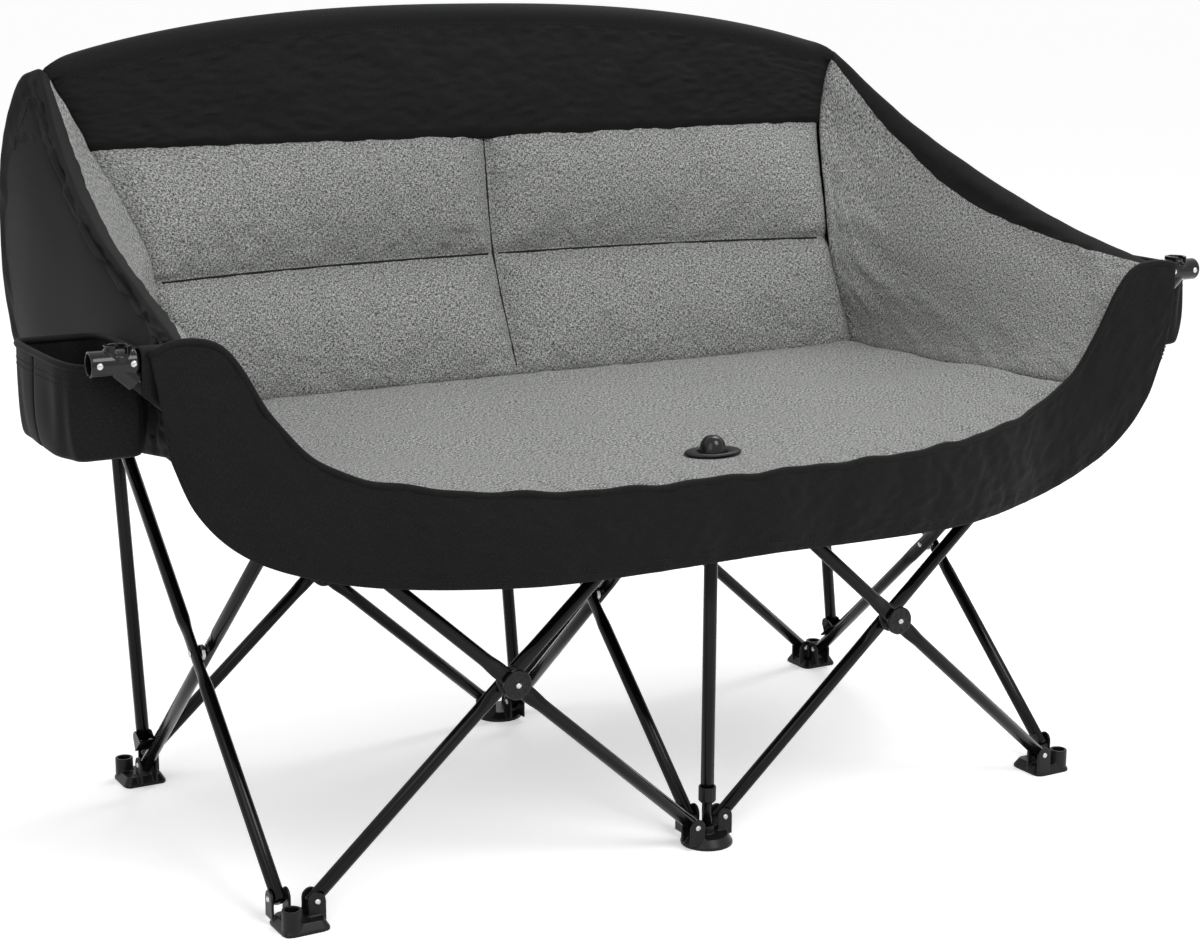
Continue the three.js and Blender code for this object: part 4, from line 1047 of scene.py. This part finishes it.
seat_across, seat_half_along = 127, 35
u, v = lattice(seat_across, 2 * seat_half_along - 1)
seat_x = (2 * u - 1) * seat_half
seat_front_edge = curve(rim_front, np.abs(seat_x)) + cloth_gap
seat_y = np.where(
    v <= 0.5,
    seat_front_edge + (seat_split - seat_front_edge) * v * 2,
    seat_split + (seat_rear_edge(seat_x) - seat_split) * (v * 2 - 1),
)
hub_off = np.hypot(seat_x, seat_y - front_row_mm)
pushed = np.maximum(hub_off, eyelet_hole) / np.maximum(hub_off, 1e-6)
in_eyelet = hub_off < eyelet_hole
seat_hole = in_eyelet[:-1, :-1] & in_eyelet[1:, :-1] & in_eyelet[1:, 1:] & in_eyelet[:-1, 1:]
seat_x = np.where(in_eyelet, seat_x * pushed, seat_x)
seat_y = np.where(in_eyelet, front_row_mm + (seat_y - front_row_mm) * pushed, seat_y)
seat_z = seat_level(seat_x, seat_y)
seat_under = seat_z - seat_thickness(seat_x, seat_y)
from_rim = np.maximum(0, seat_y - seat_front_edge) / pucker_run
puckers = np.sin(seat_x / pucker_width + 0.4 * np.sin(seat_x / 31)) * from_rim * np.exp(1 - from_rim)
middle = 4 * seat_share(seat_x, seat_y) * (1 - seat_share(seat_x, seat_y))
slack_folds = np.sin(seat_x / 58 + seat_y / 90 + 0.8) * np.sin(seat_y / 47 - seat_x / 160 + 0.5) * middle
seat_z = seat_z + (pucker_depth * puckers + fold_depth * slack_folds) * (1 - near_hub(seat_x, seat_y) ** 0.4)
for edge, way in ((0, -1), (-1, 1)):
    seat_x[edge, :] += way * seam_tuck
    seat_z[edge, :] -= side_seam_drop
seat_y[:, -1] += rear_tuck
seat_z[:, -1] -= rear_seam_drop
seat_face = to_metres(seat_x, seat_y, seat_z)
seat_back = to_metres(seat_x, seat_y, np.minimum(seat_under, seat_z - least_padding))
seat_pins = pinned_seams(u.shape) | (hub_off < eyelet_hold)
seat_face = relax(seat_face, seat_pins, 0.35, 0.02, 0.014)


def half_of(whole, name, behind):
    """One half of the pad, cut along the fold line between the rows of tubes and closed by a flat wall."""
    piece = bpy.data.objects.new(name, whole.data.copy())
    bpy.context.scene.collection.objects.link(piece)
    shape = bmesh.new()
    shape.from_mesh(piece.data)
    cut = bmesh.ops.bisect_plane(
        shape, geom=shape.verts[:] + shape.edges[:] + shape.faces[:], dist=1e-6,
        plane_co=(0, seat_split * millimetre, 0), plane_no=(0, 1, 0),
        clear_inner=behind, clear_outer=not behind,
    )
    rim = [e for e in cut["geom_cut"] if isinstance(e, bmesh.types.BMEdge)]
    for edge in rim:
        edge.smooth = False
    bmesh.ops.holes_fill(shape, edges=rim, sides=0)
    shape.to_mesh(piece.data)
    shape.free()
    return piece


seat_pad = sewn("seat_pad", seat_face, seat_back, [grey_melange, black_polyester], keep=~seat_hole)
seat_halves = [half_of(seat_pad, "seat_front_pad", False), half_of(seat_pad, "seat_rear_pad", True)]
bpy.data.objects.remove(seat_pad)
for node, piece in zip(("seat_front", "seat_rear"), seat_halves):
    stands_for(piece, node)
    bunch(piece)


# Eyelet and dome: a black oval plastic ring riveted in the seat, round the smooth dome of the centre hub.
# The dome is moulded on the hub and stands a little proud of the cloth.
dome_radius = 0.0164
dome_foot = 0.4585
dome_rise = 0.0318
dome_wall = 0.008
dome_profile = [(0, dome_foot), (dome_radius, dome_foot)]
dome_profile += [
    (dome_radius * math.cos(t) ** 0.7, dome_foot + dome_wall + (dome_rise - dome_wall) * math.sin(t))
    for t in np.linspace(0, math.pi / 2 - 0.02, 18)
]
dome_profile.append((0, dome_foot + dome_rise))
points, faces = turned(dome_profile, Vector((0, front_row, 0)))
dome = facing_out(new_piece("seat_dome", points, faces, gloss_plastic))
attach(dome, "front_hub")

eyelet_half = (0.035, 0.025)
eyelet_low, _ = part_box("seat_grommet")
eyelet_section = [(0.0, 0.0), (0.0, 0.0016), (0.12, 0.0030), (0.5, 0.0034)]
eyelet_section += [(0.86, 0.0030), (1.0, 0.0016), (1.0, 0.0)]
eyelet_inner = 0.0172
eyelet_round = 64
rings = []
for share, height in eyelet_section:
    ring = []
    for t in full_turn(eyelet_round):
        x = (eyelet_half[0] + (eyelet_inner - eyelet_half[0]) * share) * math.cos(t)
        y = (eyelet_half[1] + (eyelet_inner - eyelet_half[1]) * share) * math.sin(t)
        ring.append(Vector((x, front_row + y, eyelet_low.z + height)))
    rings.append(ring)
points = [p for ring in rings for p in ring]
faces = ring_faces(len(rings), eyelet_round) + closing_faces(eyelet_round, len(points) - eyelet_round)
eyelet = facing_out(new_piece("seat_eyelet", points, faces, black_plastic))
stands_for(eyelet, "seat_grommet")
bunch(eyelet)


# Back cushion: grey melange over fibre fill, quilted two by two by a centre and a middle seam.
# It is sewn to the back cover all round.
cushion_padding = 34
edge_tuck = 6
cushion_foot_drop = 8
edge_flat = 8
fullness_across, fullness_along = 8, 3
seam_depth = 22
edge_depth = 9
cushion_across, cushion_along = 129, 53
u, v = lattice(cushion_across, cushion_along)
cushion_z = np.where(
    v < 0.5,
    cushion_low + (cushion_mid - cushion_low) * v * 2,
    cushion_mid + (cushion_high - cushion_mid) * (v * 2 - 1),
)
cushion_x = (2 * u - 1) * (curve(back_half, cushion_z) - cloth_gap)


def channel_sink(s, full):
    """How far the cloth lies behind the crest of its channel; a higher fullness gives a flatter crest."""
    at_edge = (s < 0.25) | (s > 0.75)
    crest = np.maximum(0, 1 - np.abs(2 * ((s * 2) % 1) - 1) ** full) ** 0.65
    return np.where(at_edge, edge_depth, seam_depth) * (1 - crest)


def flat_edges(s):
    return edge_flat * (1 - pillow(s))


cushion_sink = np.maximum(channel_sink(u, fullness_across), channel_sink(v, fullness_along))
cushion_y = back_face(cushion_x, cushion_z) + cushion_sink
cushion_behind = back_face(cushion_x, cushion_z) + cushion_padding - flat_edges(u) - flat_edges(v)
for edge, way in ((0, -1), (-1, 1)):
    cushion_x[edge, :] += way * seam_tuck
    cushion_y[edge, :] += edge_tuck
cushion_z[:, 0] -= cushion_foot_drop
cushion_face = to_metres(cushion_x, cushion_y, cushion_z)
cushion_back = to_metres(cushion_x, cushion_behind, cushion_z)
cushion_pins = pinned_seams(u.shape, (0, cushion_across // 2, -1), (0, cushion_along // 2, -1))
cushion_face = relax(cushion_face, cushion_pins, 1.6, 0.03, 0.016)
cushion = sewn("back_cushion_quilt", cushion_face, cushion_back, [grey_melange, black_polyester])
stands_for(cushion, "back_cushion")
bunch(cushion)


# Back cover: black polyester, one cloth that is the top band in front, turns over the uprights' tops
# and hangs behind as the rear panel.
band_thick = 8
cover_thick = 5
corner_drop = 62
rear_hem = 478
rear_spread = [[0, 0], [0.06, 18], [0.25, 53], [0.62, 62], [1, 48]]
turn_over = 24
corner_reach, corner_sink = 14, 8
corner_from, corner_run = 0.94, 0.06
turn_margin = 0.02
rear_lean = [[rear_hem, 325], [640, 352], [800, 374], [925, 391]]
cover_across, cover_along = 121, 81
band_share, turn_share = 0.4, 0.6


def back_cover(u, v, inward):
    top = back_top - corner_drop * np.abs(2 * u - 1) ** 2.4 - turn_over
    side = 2 * u - 1
    band_z = cushion_high + cloth_gap + (top - cushion_high - cloth_gap) * np.clip(v / band_share, 0, 1)
    band_x = side * curve(back_half, band_z)
    band_y = back_face(band_x, band_z) + inward * band_thick
    around = np.clip((v - band_share) / (turn_share - band_share), 0, 1) * math.pi
    drawn_in = np.clip((np.abs(side) - corner_from) / corner_run, 0, 1) ** 2
    rear_y = curve(rear_lean, top) - inward * cover_thick
    rear_y = rear_y + (band_y + band_thick - rear_y) * drawn_in
    turn_y = (band_y + rear_y) / 2 - (rear_y - band_y) / 2 * np.cos(around)
    turn_z = top + (turn_over - inward * band_thick) * np.sin(around)
    fall = np.clip((v - turn_share) / (1 - turn_share), 0, 1)
    hang_z = top + (rear_hem - top) * fall
    hang_x = side * (curve(back_half, top) + curve(rear_spread, fall))
    hang_y = curve(rear_lean, hang_z) - inward * cover_thick
    hang_y = hang_y + (rear_y - curve(rear_lean, top) + inward * cover_thick) * np.maximum(0, 1 - fall * 5)
    front, turning = v <= band_share, v < turn_share
    return to_metres(
        np.where(turning, band_x, hang_x),
        np.where(front, band_y, np.where(turning, turn_y, hang_y)),
        np.where(front, band_z, np.where(turning, turn_z, hang_z)),
    )


u, v = lattice(cover_across, cover_along)
in_band = v[0] <= band_share
over_top = (v[0] > band_share) & (v[0] < turn_share + 0.05)


def tucked(points):
    """The band's lower edge and sides run on behind the cushion and the wings."""
    points[:, 0, 2] -= seam_tuck * millimetre
    points[:, 0, 1] += edge_tuck * millimetre
    for edge, way in ((0, -1), (-1, 1)):
        points[edge, in_band, 0] += way * seam_tuck * millimetre
        points[edge, in_band, 1] += edge_tuck * millimetre
        points[edge, over_top, 0] += way * corner_reach * millimetre
        points[edge, over_top, 2] -= corner_sink * millimetre
    return points


cover_pins = pinned_seams(u.shape)
cover_pins |= (v > band_share - turn_margin) & (v < turn_share + turn_margin)
cover_face = relax(tucked(back_cover(u, v, 0)), cover_pins, 0.12, 0.008, 0.006)
cover = sewn("back_cover_cloth", cover_face, tucked(back_cover(u, v, 1)), [black_polyester])
stands_for(cover, "back_panel")
bunch(cover)


# Wings: the padded sides, grey inside, with a black rim band that turns over the top edge
# and goes down outside as the black side panel. Each is sleeved over its side upright at the rear.
wing_padding = 24
wing_edge = 8
wing_stations = [
    {"y": 350, "top": (577, 888), "outer": [(602, 862), (628, 770), (634, 620), (614, rear_hem)]},
    {"y": 200, "top": (600, 799), "outer": [(618, 778), (640, 712), (648, 600), (638, 492)]},
    {"y": 40, "top": (617, 731), "outer": [(632, 712), (643, 660), (646, 590), (640, 508)]},
    {"y": -120, "top": (624, 682), "outer": [(636, 667), (644, 628), (647, 574), (646, 516)]},
    {"y": -264, "top": (636, 649), "outer": [(642, 642), (648, 612), (648, 576), (642, 532)]},
]
rim_turn = 10
rear_bow = [[0, 0], [0.1, 20], [0.3, 23], [0.5, 15], [0.75, 0], [1, -20]]
front_tuck = 42
front_reach = 6
rear_lap = [[0, 30], [8, 22], [20, seam_tuck], [38, seam_tuck]]
wing_climb = [[0, 0], [0.35, 0.30], [0.7, 0.58], [0.87, 0.77], [0.95, 0.88], [1, 1]]


def wing_line(values, share):
    return curve([[k / (len(values) - 1), value] for k, value in enumerate(values)], share)


def wing_face(share, v, inward):
    top_x = wing_line([s["top"][0] for s in wing_stations], share)
    top_z = wing_line([s["top"][1] for s in wing_stations], share)
    top_y = wing_line([s["y"] for s in wing_stations], share)
    rise = np.clip(v / 0.5, 0, 1)
    seam_rear = seat_rear_edge(np.array(float(seat_half))) - cloth_gap
    seam_y = seam_rear + (curve(rim_front, np.array(float(seat_half))) - seam_rear) * share
    seam_z = seat_level(np.full(share.shape, float(seat_half)), seam_y)
    z = seam_z + (top_z - seam_z) * rise
    rear_x = curve(back_half, z)
    front_x = seat_half + cloth_gap + (top_x - seat_half - cloth_gap) * curve(wing_climb, rise)
    front_y = seam_y + (top_y - seam_y) * rise
    rear_y = back_face(rear_x, z)
    below_rim = 1 - rise ** 2.5
    x = rear_x + cloth_gap + (front_x - rear_x - cloth_gap) * share ** (0.5 * below_rim)
    y = rear_y + (front_y - rear_y) * share ** (0.35 * below_rim)
    pad = inward * (wing_padding - (wing_padding - wing_edge) * (1 - pillow(rise * 0.9 + 0.05)))
    fall = np.clip((v - 0.5) / 0.5, 0, 1)
    outer_x, outer_z = [], []
    for k in range(4):
        outer_x.append(wing_line([s["outer"][k][0] for s in wing_stations], share))
        outer_z.append(wing_line([s["outer"][k][1] for s in wing_stations], share))
    down_x = along_drop([top_x] + outer_x, fall) - inward * cover_thick
    down_z = along_drop([top_z] + outer_z, fall) - inward * rim_turn * (1 - fall) ** 6
    down_y = top_y + curve(rear_bow, fall) * (1 - share)
    under_arm = np.clip((fall - 0.4) / 0.3, 0, 1)
    drawn_back = front_tuck * (1 - under_arm) - front_reach * under_arm
    down_y = down_y + drawn_back * share ** 5 * np.minimum(1, fall * 4)
    inside = v <= 0.5
    return to_metres(
        np.where(inside, x + pad, down_x),
        np.where(inside, y, down_y),
        np.where(inside, z - inward * rim_turn * rise ** 6, down_z),
    )


def along_drop(values, share):
    """The same smooth line as curve, between knots that differ from point to point."""
    values = np.stack(values)
    last = len(values) - 1
    index = np.arange(last + 1)
    before, after = np.maximum(index - 1, 0), np.minimum(index + 1, last)
    slopes = (values[after] - values[before]) / (after - before)[:, None, None]
    k = np.clip(np.ceil(share * last).astype(int) - 1, 0, last - 1)
    t = share * last - k

    def pick(table, which):
        return np.take_along_axis(table, which[None], 0)[0]

    smooth = t * t * (3 - 2 * t)
    bend = pick(slopes, k) * t * (1 - t) ** 2 - pick(slopes, k + 1) * t * t * (1 - t)
    return pick(values, k) + (pick(values, k + 1) - pick(values, k)) * smooth + bend


wing_across, wing_along = 61, 85
band_row = 38
rim_hold = 0.03
band_from = [[0, 0.484], [0.25, 0.461], [0.5, 0.436], [0.75, 0.456], [1, 0.4885]]
u, row = lattice(wing_across, wing_along)
row = row * (wing_along - 1)
wing_paint = np.zeros((wing_across - 1, wing_along - 1), int)
wing_paint[:, band_row:] = 1


def sewn_in(points):
    """The wing's lower edge dips behind the seat and its rear edge behind the cushion."""
    points[:, 0, 2] -= seam_tuck * millimetre
    points[0, :band_row, 1] += curve(rear_lap, np.arange(band_row)) * millimetre
    return points


band = curve(band_from, u)
below = band * row / band_row
above = band + (1 - band) * (row - band_row) / (wing_along - 1 - band_row)
v = np.where(row < band_row, below, above)
wing_pins = pinned_seams(u.shape) | (np.abs(v - 0.5) < rim_hold)
wing_inside = relax(sewn_in(wing_face(u, v, 0))[::-1], wing_pins[::-1], 0.9, 0.018, 0.010)[::-1]
wing_behind = sewn_in(wing_face(u, v, 1))
for side, sign in both_sides:
    node = side + "_wing"
    flip = np.array([sign, 1, 1])
    face, behind, paint = wing_inside * flip, wing_behind * flip, wing_paint
    if sign > 0:
        face, behind, paint = face[::-1], behind[::-1], paint[::-1]
    piece = sewn(node + "_panel", face, behind, [grey_melange, black_polyester], paint)
    stands_for(piece, node)
    bunch(piece)


# Front skirt: a black polyester cloth that hangs from the seat's rim and climbs to the arms at its ends.
# A round piping runs along its rim and two rows of stitches along its hem.
skirt_thick = 4
rim_end, hem_end = 668, 653
hem_front = [[0, -380], [200, -367], [300, -351], [430, -304], [520, -284], [600, -276], [hem_end, -274]]
hem_level = [[0, 382], [200, 376], [300, 375], [430, 380], [520, 400], [585, 432], [630, 482]]
hem_level += [[hem_end, 540]]
skirt_swell = 5
rim_lift = 4
piping_radius = 4


def skirt_cloth(u, v, inward):
    side, sign = np.abs(2 * u - 1), np.sign(2 * u - 1)
    rim_x, hem_x = rim_end * side, hem_end * side
    rim_y = curve(rim_front, rim_x) - skirt_thick - cloth_gap
    hem_y = curve(hem_front, hem_x) - skirt_thick
    swell = skirt_swell * np.sin(math.pi * v)
    x = sign * (rim_x + (hem_x - rim_x) * v)
    y = rim_y + (hem_y - rim_y) * v - swell + inward * skirt_thick
    along = sign * rim_x
    rim_z = curve(rim_level, rim_x) + rim_lift + 1.1 * np.sin(along / 17) + 0.8 * np.sin(along / 9.5 + 1)
    return to_metres(x, y, rim_z + (curve(hem_level, hem_x) - rim_z) * v)


skirt_across, skirt_along = 181, 23
u, v = lattice(skirt_across, skirt_along)
skirt_face = relax(skirt_cloth(u, v, 0)[::-1], pinned_seams(u.shape)[::-1], 0.25, 0.012, 0.006)[::-1]
skirt_back = skirt_cloth(u, v, 1)
skirt = sewn("front_skirt_cloth", skirt_face[::-1], skirt_back[::-1], [black_polyester])
cord_sides = 10
cord_upright = (0.03, 0.05, 1)


def cord_along(name, line, radius, material, closed=False):
    """A round welt or binding of cloth along a line of points in metres, with thread coordinates."""
    ahead, behind = np.roll(line, -1, 0), np.roll(line, 1, 0)
    if not closed:
        ahead[-1], behind[0] = line[-1], line[0]
    along = ahead - behind
    along /= np.linalg.norm(along, axis=1, keepdims=True)
    side = np.cross(along, cord_upright)
    side /= np.linalg.norm(side, axis=1, keepdims=True)
    up = np.cross(side, along)
    turns = full_turn(cord_sides)
    outwards = np.cos(turns)[None, :, None] * side[:, None] + np.sin(turns)[None, :, None] * up[:, None]
    points = (line[:, None] + radius * outwards).reshape(-1, 3)
    faces = ring_faces(len(line), cord_sides)
    if closed:
        faces += closing_faces(cord_sides, len(points) - cord_sides)
    else:
        faces += cap_faces(cord_sides, len(points))
    piece = facing_out(new_piece(name, points, faces, material))
    run = np.concatenate([[0], np.cumsum(np.linalg.norm(np.diff(line, axis=0), axis=1))])
    uv = np.stack(np.broadcast_arrays(run[:, None], (turns * radius)[None]), axis=2).reshape(-1, 2)
    thread_layer(piece, uv)
    return piece


skirt_rim = (skirt_face[:, 0] + skirt_back[:, 0]) / 2
piping = cord_along("front_rim_piping", skirt_rim, piping_radius * millimetre, black_polyester)
stands_for(skirt, "front_skirt")
goes_with(piping, "front_skirt")
for cloth in (skirt, piping):
    bunch(cloth)


# Cup holders: soft black pouches hung outside the wings behind the arms, each a band of cloth
# sewn round a squarish floor, with a bound rim and slack, puckered walls.
pouch_wide, pouch_long, pouch_inner = 104, 200, 645
pouch_top, pouch_bottom, pouch_wall = 630, 528, 3
pouch_around, pouch_down = 145, 33
pouch_wall_share = 0.62
pouch_inset, pouch_taper = 3, 5
rim_sag, floor_drop, floor_closed = 4, 5, 0.99
rim_binding = 4


def pouch_cloth(front, inward):
    u, v = lattice(pouch_around, pouch_down)
    turn = 2 * math.pi * u
    down = np.clip(v / pouch_wall_share, 0, 1)
    floor = np.clip((v - pouch_wall_share) / (1 - pouch_wall_share), 0, 1)
    way = [np.sign(c) * np.abs(c) ** 0.5 for c in (np.cos(turn), np.sin(turn))]
    pucker = 1.8 * np.sin(7 * turn + 3 * down) * down + 1.2 * np.sin(13 * turn + 1) * np.sin(math.pi * down)
    narrowing = pouch_inset + pouch_taper * down ** 5 - pucker * (1 - floor) + inward * pouch_wall
    across = (pouch_wide / 2 - narrowing) * (1 - floor_closed * floor)
    along = (pouch_long / 2 - narrowing) * (1 - floor_closed * floor)
    sag = rim_sag * np.sin(math.pi * u * 2) ** 2 * (1 - down)
    wall = pouch_top + (pouch_bottom + floor_drop - pouch_top) * down - sag
    height = wall - floor_drop * np.minimum(1, floor * 5)
    x = pouch_inner + pouch_wide / 2 + across * way[0]
    y = front + pouch_long / 2 + along * way[1]
    return to_metres(x, y, height + inward * pouch_wall * np.minimum(1, floor * 8))


for side, sign in both_sides:
    node = side + "_cup_holder"
    low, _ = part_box(node)
    flip = np.array([sign, 1, 1])
    outside, inside = (pouch_cloth(low.y / millimetre, inward) * flip for inward in (0, 1))
    if sign < 0:
        outside, inside = outside[::-1], inside[::-1]
    piece = sewn(node + "_pouch", outside, inside, [black_polyester])
    rim = (outside[:-1, 0] + inside[:-1, 0]) / 2
    binding = cord_along(node + "_binding", rim, rim_binding * millimetre, black_polyester, closed=True)
    stands_for(piece, node)
    goes_with(binding, node)
    for cloth in (piece, binding):
        bunch(cloth)


# Arm sleeves: a short sleeve of black cloth at each end of the skirt's rim, drawn over the arm tube.
# Its top is a rolled band, level with the arm end; below it narrows to the tube.
sleeve_from, sleeve_to = 630, 675
sleeve_thin = 0.12
sleeve_top, sleeve_roll, sleeve_round = 636, 12, 10
sleeve_rings, sleeve_around = 15, 32


def sleeve_ring(at, y):
    """A hoop of cloth round the rolled band above and the arm tube below."""
    share = (at - sleeve_from) / (sleeve_to - sleeve_from)
    tube = (foot_height + (at * millimetre - near) * arm_way.z / arm_way.x) / millimetre
    depth = np.clip((share - 0.25) / 0.2, 0, 1)
    low = sleeve_top + (tube - sleeve_top) * depth * depth * (3 - 2 * depth)
    roll = sleeve_roll * (0.75 + 0.25 * min(1, share * 3))
    ring = []
    for t in full_turn(sleeve_around):
        upper = math.sin(t) > 0
        radius = roll if upper else sleeve_round
        ring.append((at, y + radius * math.cos(t), (sleeve_top if upper else low) + radius * math.sin(t)))
    return ring


for side, sign in both_sides:
    node = side + "_arm_sleeve"
    arm_y = middle_of(side + "_arm_tube", 1) / millimetre
    hoops = np.array([sleeve_ring(at, arm_y) for at in np.linspace(sleeve_from, sleeve_to, sleeve_rings)])
    ripple = 1.2 * np.sin(hoops[:, :, 2] * 0.19 + hoops[:, :, 0] * 0.11)
    hoops[:, :, 1] += ripple * (hoops[:, :, 2] < sleeve_top)
    hoops = np.concatenate([hoops, hoops[:, :1]], axis=1) * millimetre * np.array([sign, 1, 1])
    inner = hoops + (hoops.mean(axis=1, keepdims=True) - hoops) * sleeve_thin
    if sign < 0:
        hoops, inner = hoops[::-1], inner[::-1]
    piece = sewn(node + "_cloth", hoops[::-1], inner[::-1], [black_polyester])
    stands_for(piece, node)


# Stitching: rows of short thread loops along the hem, the band, the wings' rear edges and the pouch rims.
# One pattern sets a loop at each step along a marked line, turned the way the line runs.
stitch_step = 0.005
stitch_long = 0.0036
stitch_thick = 0.001
stitch_lift = 0.0002
# Radius of the black cord along each quilting seam: its darkness is painted shade for the seam's crease.
quilt_shade_cord_radius = 0.0014
quilt_lift = 0.0028
black_thread, _, _, thread_surface = shader("black_thread", (0.009, 0.009, 0.010), 0.6)
thread_surface.inputs["Specular IOR Level"].default_value = 0.15


hem_rows, band_rows = (0.84, 0.92), (0.375, 0.395)
wing_rows, pouch_rows = (0.07, 0.10), (0.09, 0.13)
wing_rows_from, wing_rows_to = band_row + 8, -2


def stitch_marks(add, link, given):
    lines = add("GeometryNodeMeshToCurve")
    link(given["Lines"], lines.inputs["Mesh"])
    steps = add("GeometryNodeResampleCurve")
    steps.mode = "LENGTH"
    link(lines.outputs["Curve"], steps.inputs["Curve"])
    link(given["Step"], steps.inputs["Length"])
    way = add("GeometryNodeInputTangent").outputs["Tangent"]
    return steps.outputs["Curve"], way, (given["Length"], given["Thickness"], given["Thickness"])


stitch_sizes = {"Step": stitch_step, "Length": stitch_long, "Thickness": stitch_thick}
stitch_pattern = ball_pattern("stitch_rows", "Lines", stitch_sizes, 6, 4, "X", stitch_marks)


def seam_line(face, share, outward=None):
    """A line across a lattice of cloth, at a share of the way along it, just off its face."""
    at = share * (face.shape[1] - 1)
    k = min(int(at), face.shape[1] - 2)
    line = face[:, k] + (face[:, k + 1] - face[:, k]) * (at - k)
    normal = np.cross(np.gradient(line, axis=0), face[:, k + 1] - face[:, k])
    normal /= np.maximum(np.linalg.norm(normal, axis=1, keepdims=True), 1e-9)
    away = line - line.mean(axis=0) if outward is None else np.array(outward, float)
    normal *= np.sign((normal * away).sum(axis=1, keepdims=True))
    return line + normal * stitch_lift


def stitches(name, lines, node):
    points, edges = [], []
    for line in lines:
        edges += [(len(points) + k, len(points) + k + 1) for k in range(len(line) - 1)]
        points += list(line)
    piece = new_piece(name, points, [], black_thread, edges)
    patterned(piece, stitch_pattern, {**stitch_sizes, "Finish": black_thread})
    goes_with(piece, node)
    return piece


forward = (0, -1, 0)
# The quilting seams get a black cord in each valley. The seam is real, but the cord's dark line is painted
# shade, standing in for the shade of the crease where the seam pinches the cushion.
quilt_lines = {
    "centre": cushion_face[cushion_across // 2, 1:-1],
    "left": cushion_face[1:cushion_across // 2, cushion_along // 2],
    "right": cushion_face[cushion_across // 2 + 1:-1, cushion_along // 2],
}
for place, line in quilt_lines.items():
    line = line + np.array([0, -quilt_lift, 0])
    seam_shade_cord = cord_along(f"back_cushion_{place}_seam_shade_cord", line, quilt_shade_cord_radius, black_thread)
    goes_with(seam_shade_cord, "back_cushion")
    bunch(seam_shade_cord)
hem_lines = [seam_line(skirt_face, at, forward) for at in hem_rows]
bunch(stitches("front_skirt_stitches", hem_lines, "front_skirt"))
band_lines = [seam_line(cover_face, at, forward) for at in band_rows]
bunch(stitches("back_cover_stitches", band_lines, "back_panel"))
for side, sign in both_sides:
    flip = np.array([sign, 1, 1])
    wing_lengths = np.swapaxes(wing_inside * flip, 0, 1)
    wing_lines = [seam_line(wing_lengths, at, (sign, 0.3, 0)) for at in wing_rows]
    wing_lines = [line[wing_rows_from:wing_rows_to] for line in wing_lines]
    wing_stitches = stitches(side + "_wing_stitches", wing_lines, side + "_wing")
    bunch(wing_stitches)
    node = side + "_cup_holder"
    low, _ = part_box(node)
    pouch_lines = [seam_line(pouch_cloth(low.y / millimetre, 0) * flip, at) for at in pouch_rows]
    bunch(stitches(node + "_stitches", pouch_lines, node))


# Studio: a white seamless floor, soft light from above and the front, the camera at the photo's angle.
# What is seen directly or mirrored of floor and room is lifted to white; the floor keeps the shadow.
def seen_directly(tree, dim, bright, target):
    """Drives a strength: bright for rays from the camera, a mirror or a clear body, dim elsewhere."""
    rays = tree.nodes.new("ShaderNodeLightPath")
    seen = rays.outputs["Is Camera Ray"]
    for kind in ("Is Glossy Ray", "Is Transmission Ray"):
        either = tree.nodes.new("ShaderNodeMath")
        either.operation = "MAXIMUM"
        tree.links.new(seen, either.inputs[0])
        tree.links.new(rays.outputs[kind], either.inputs[1])
        seen = either.outputs[0]
    level = tree.nodes.new("ShaderNodeMapRange")
    level.inputs["To Min"].default_value = dim
    level.inputs["To Max"].default_value = bright
    tree.links.new(seen, level.inputs["Value"])
    tree.links.new(level.outputs["Result"], target)


pale_floor, _, _, floor_surface = shader("white_floor", (0.9, 0.9, 0.9), 0.9)
floor_surface.inputs["Specular IOR Level"].default_value = 0
floor_surface.inputs["Emission Color"].default_value = (1, 1, 1, 1)
seen_directly(pale_floor.node_tree, 0, 0.42, floor_surface.inputs["Emission Strength"])
floor_size = 40
corners = [(x, y, 0) for x, y in ((-1, -1), (1, -1), (1, 1), (-1, 1))]
floor_piece = new_piece("studio_floor", np.array(corners) * floor_size, [(0, 1, 2, 3)], pale_floor)
floor_piece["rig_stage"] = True

world = bpy.data.worlds.new("soft_white_room")
bpy.context.scene.world = world
world.use_nodes = True
background = world.node_tree.nodes["Background"]
background.inputs["Color"].default_value = (1, 1, 1, 1)
seen_directly(world.node_tree, 0.62, 1.0, background.inputs["Strength"])


def soft_lamp(name, place, target, size, power):
    lamp = bpy.data.lights.new(name, "AREA")
    lamp.shape = "SQUARE"
    lamp.size = size
    lamp.energy = power
    holder = bpy.data.objects.new(name, lamp)
    holder.location = place
    holder.rotation_euler = (Vector(target) - Vector(place)).to_track_quat("-Z", "Y").to_euler()
    bpy.context.scene.collection.objects.link(holder)


seat_middle = (0, 0, 0.5)
soft_lamp("key_light", (0.6, -2.8, 3.3), seat_middle, 1.8, 80)
soft_lamp("fill_light", (-2.8, -2.2, 2.4), seat_middle, 2.2, 25)
soft_lamp("top_light", (1.6, 0.9, 3.2), seat_middle, 1.6, 40)

camera_data = bpy.data.cameras.new("camera")
camera_data.sensor_width = 36
camera_data.lens = 70.9
camera = bpy.data.objects.new("camera", camera_data)
camera.location = (-1.4168, -2.4629, 1.0413)
camera_yaw = 29.85
camera_down = 12.72
camera_roll = 0.31
look = Matrix.Rotation(math.radians(-camera_yaw), 3, "Z")
look = look @ Matrix.Rotation(math.radians(90 - camera_down), 3, "X")
camera.rotation_euler = (look @ Matrix.Rotation(math.radians(camera_roll), 3, "Z")).to_euler()
bpy.context.scene.collection.objects.link(camera)
bpy.context.scene.camera = camera
bpy.context.scene.view_settings.view_transform = "Standard"

low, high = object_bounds()
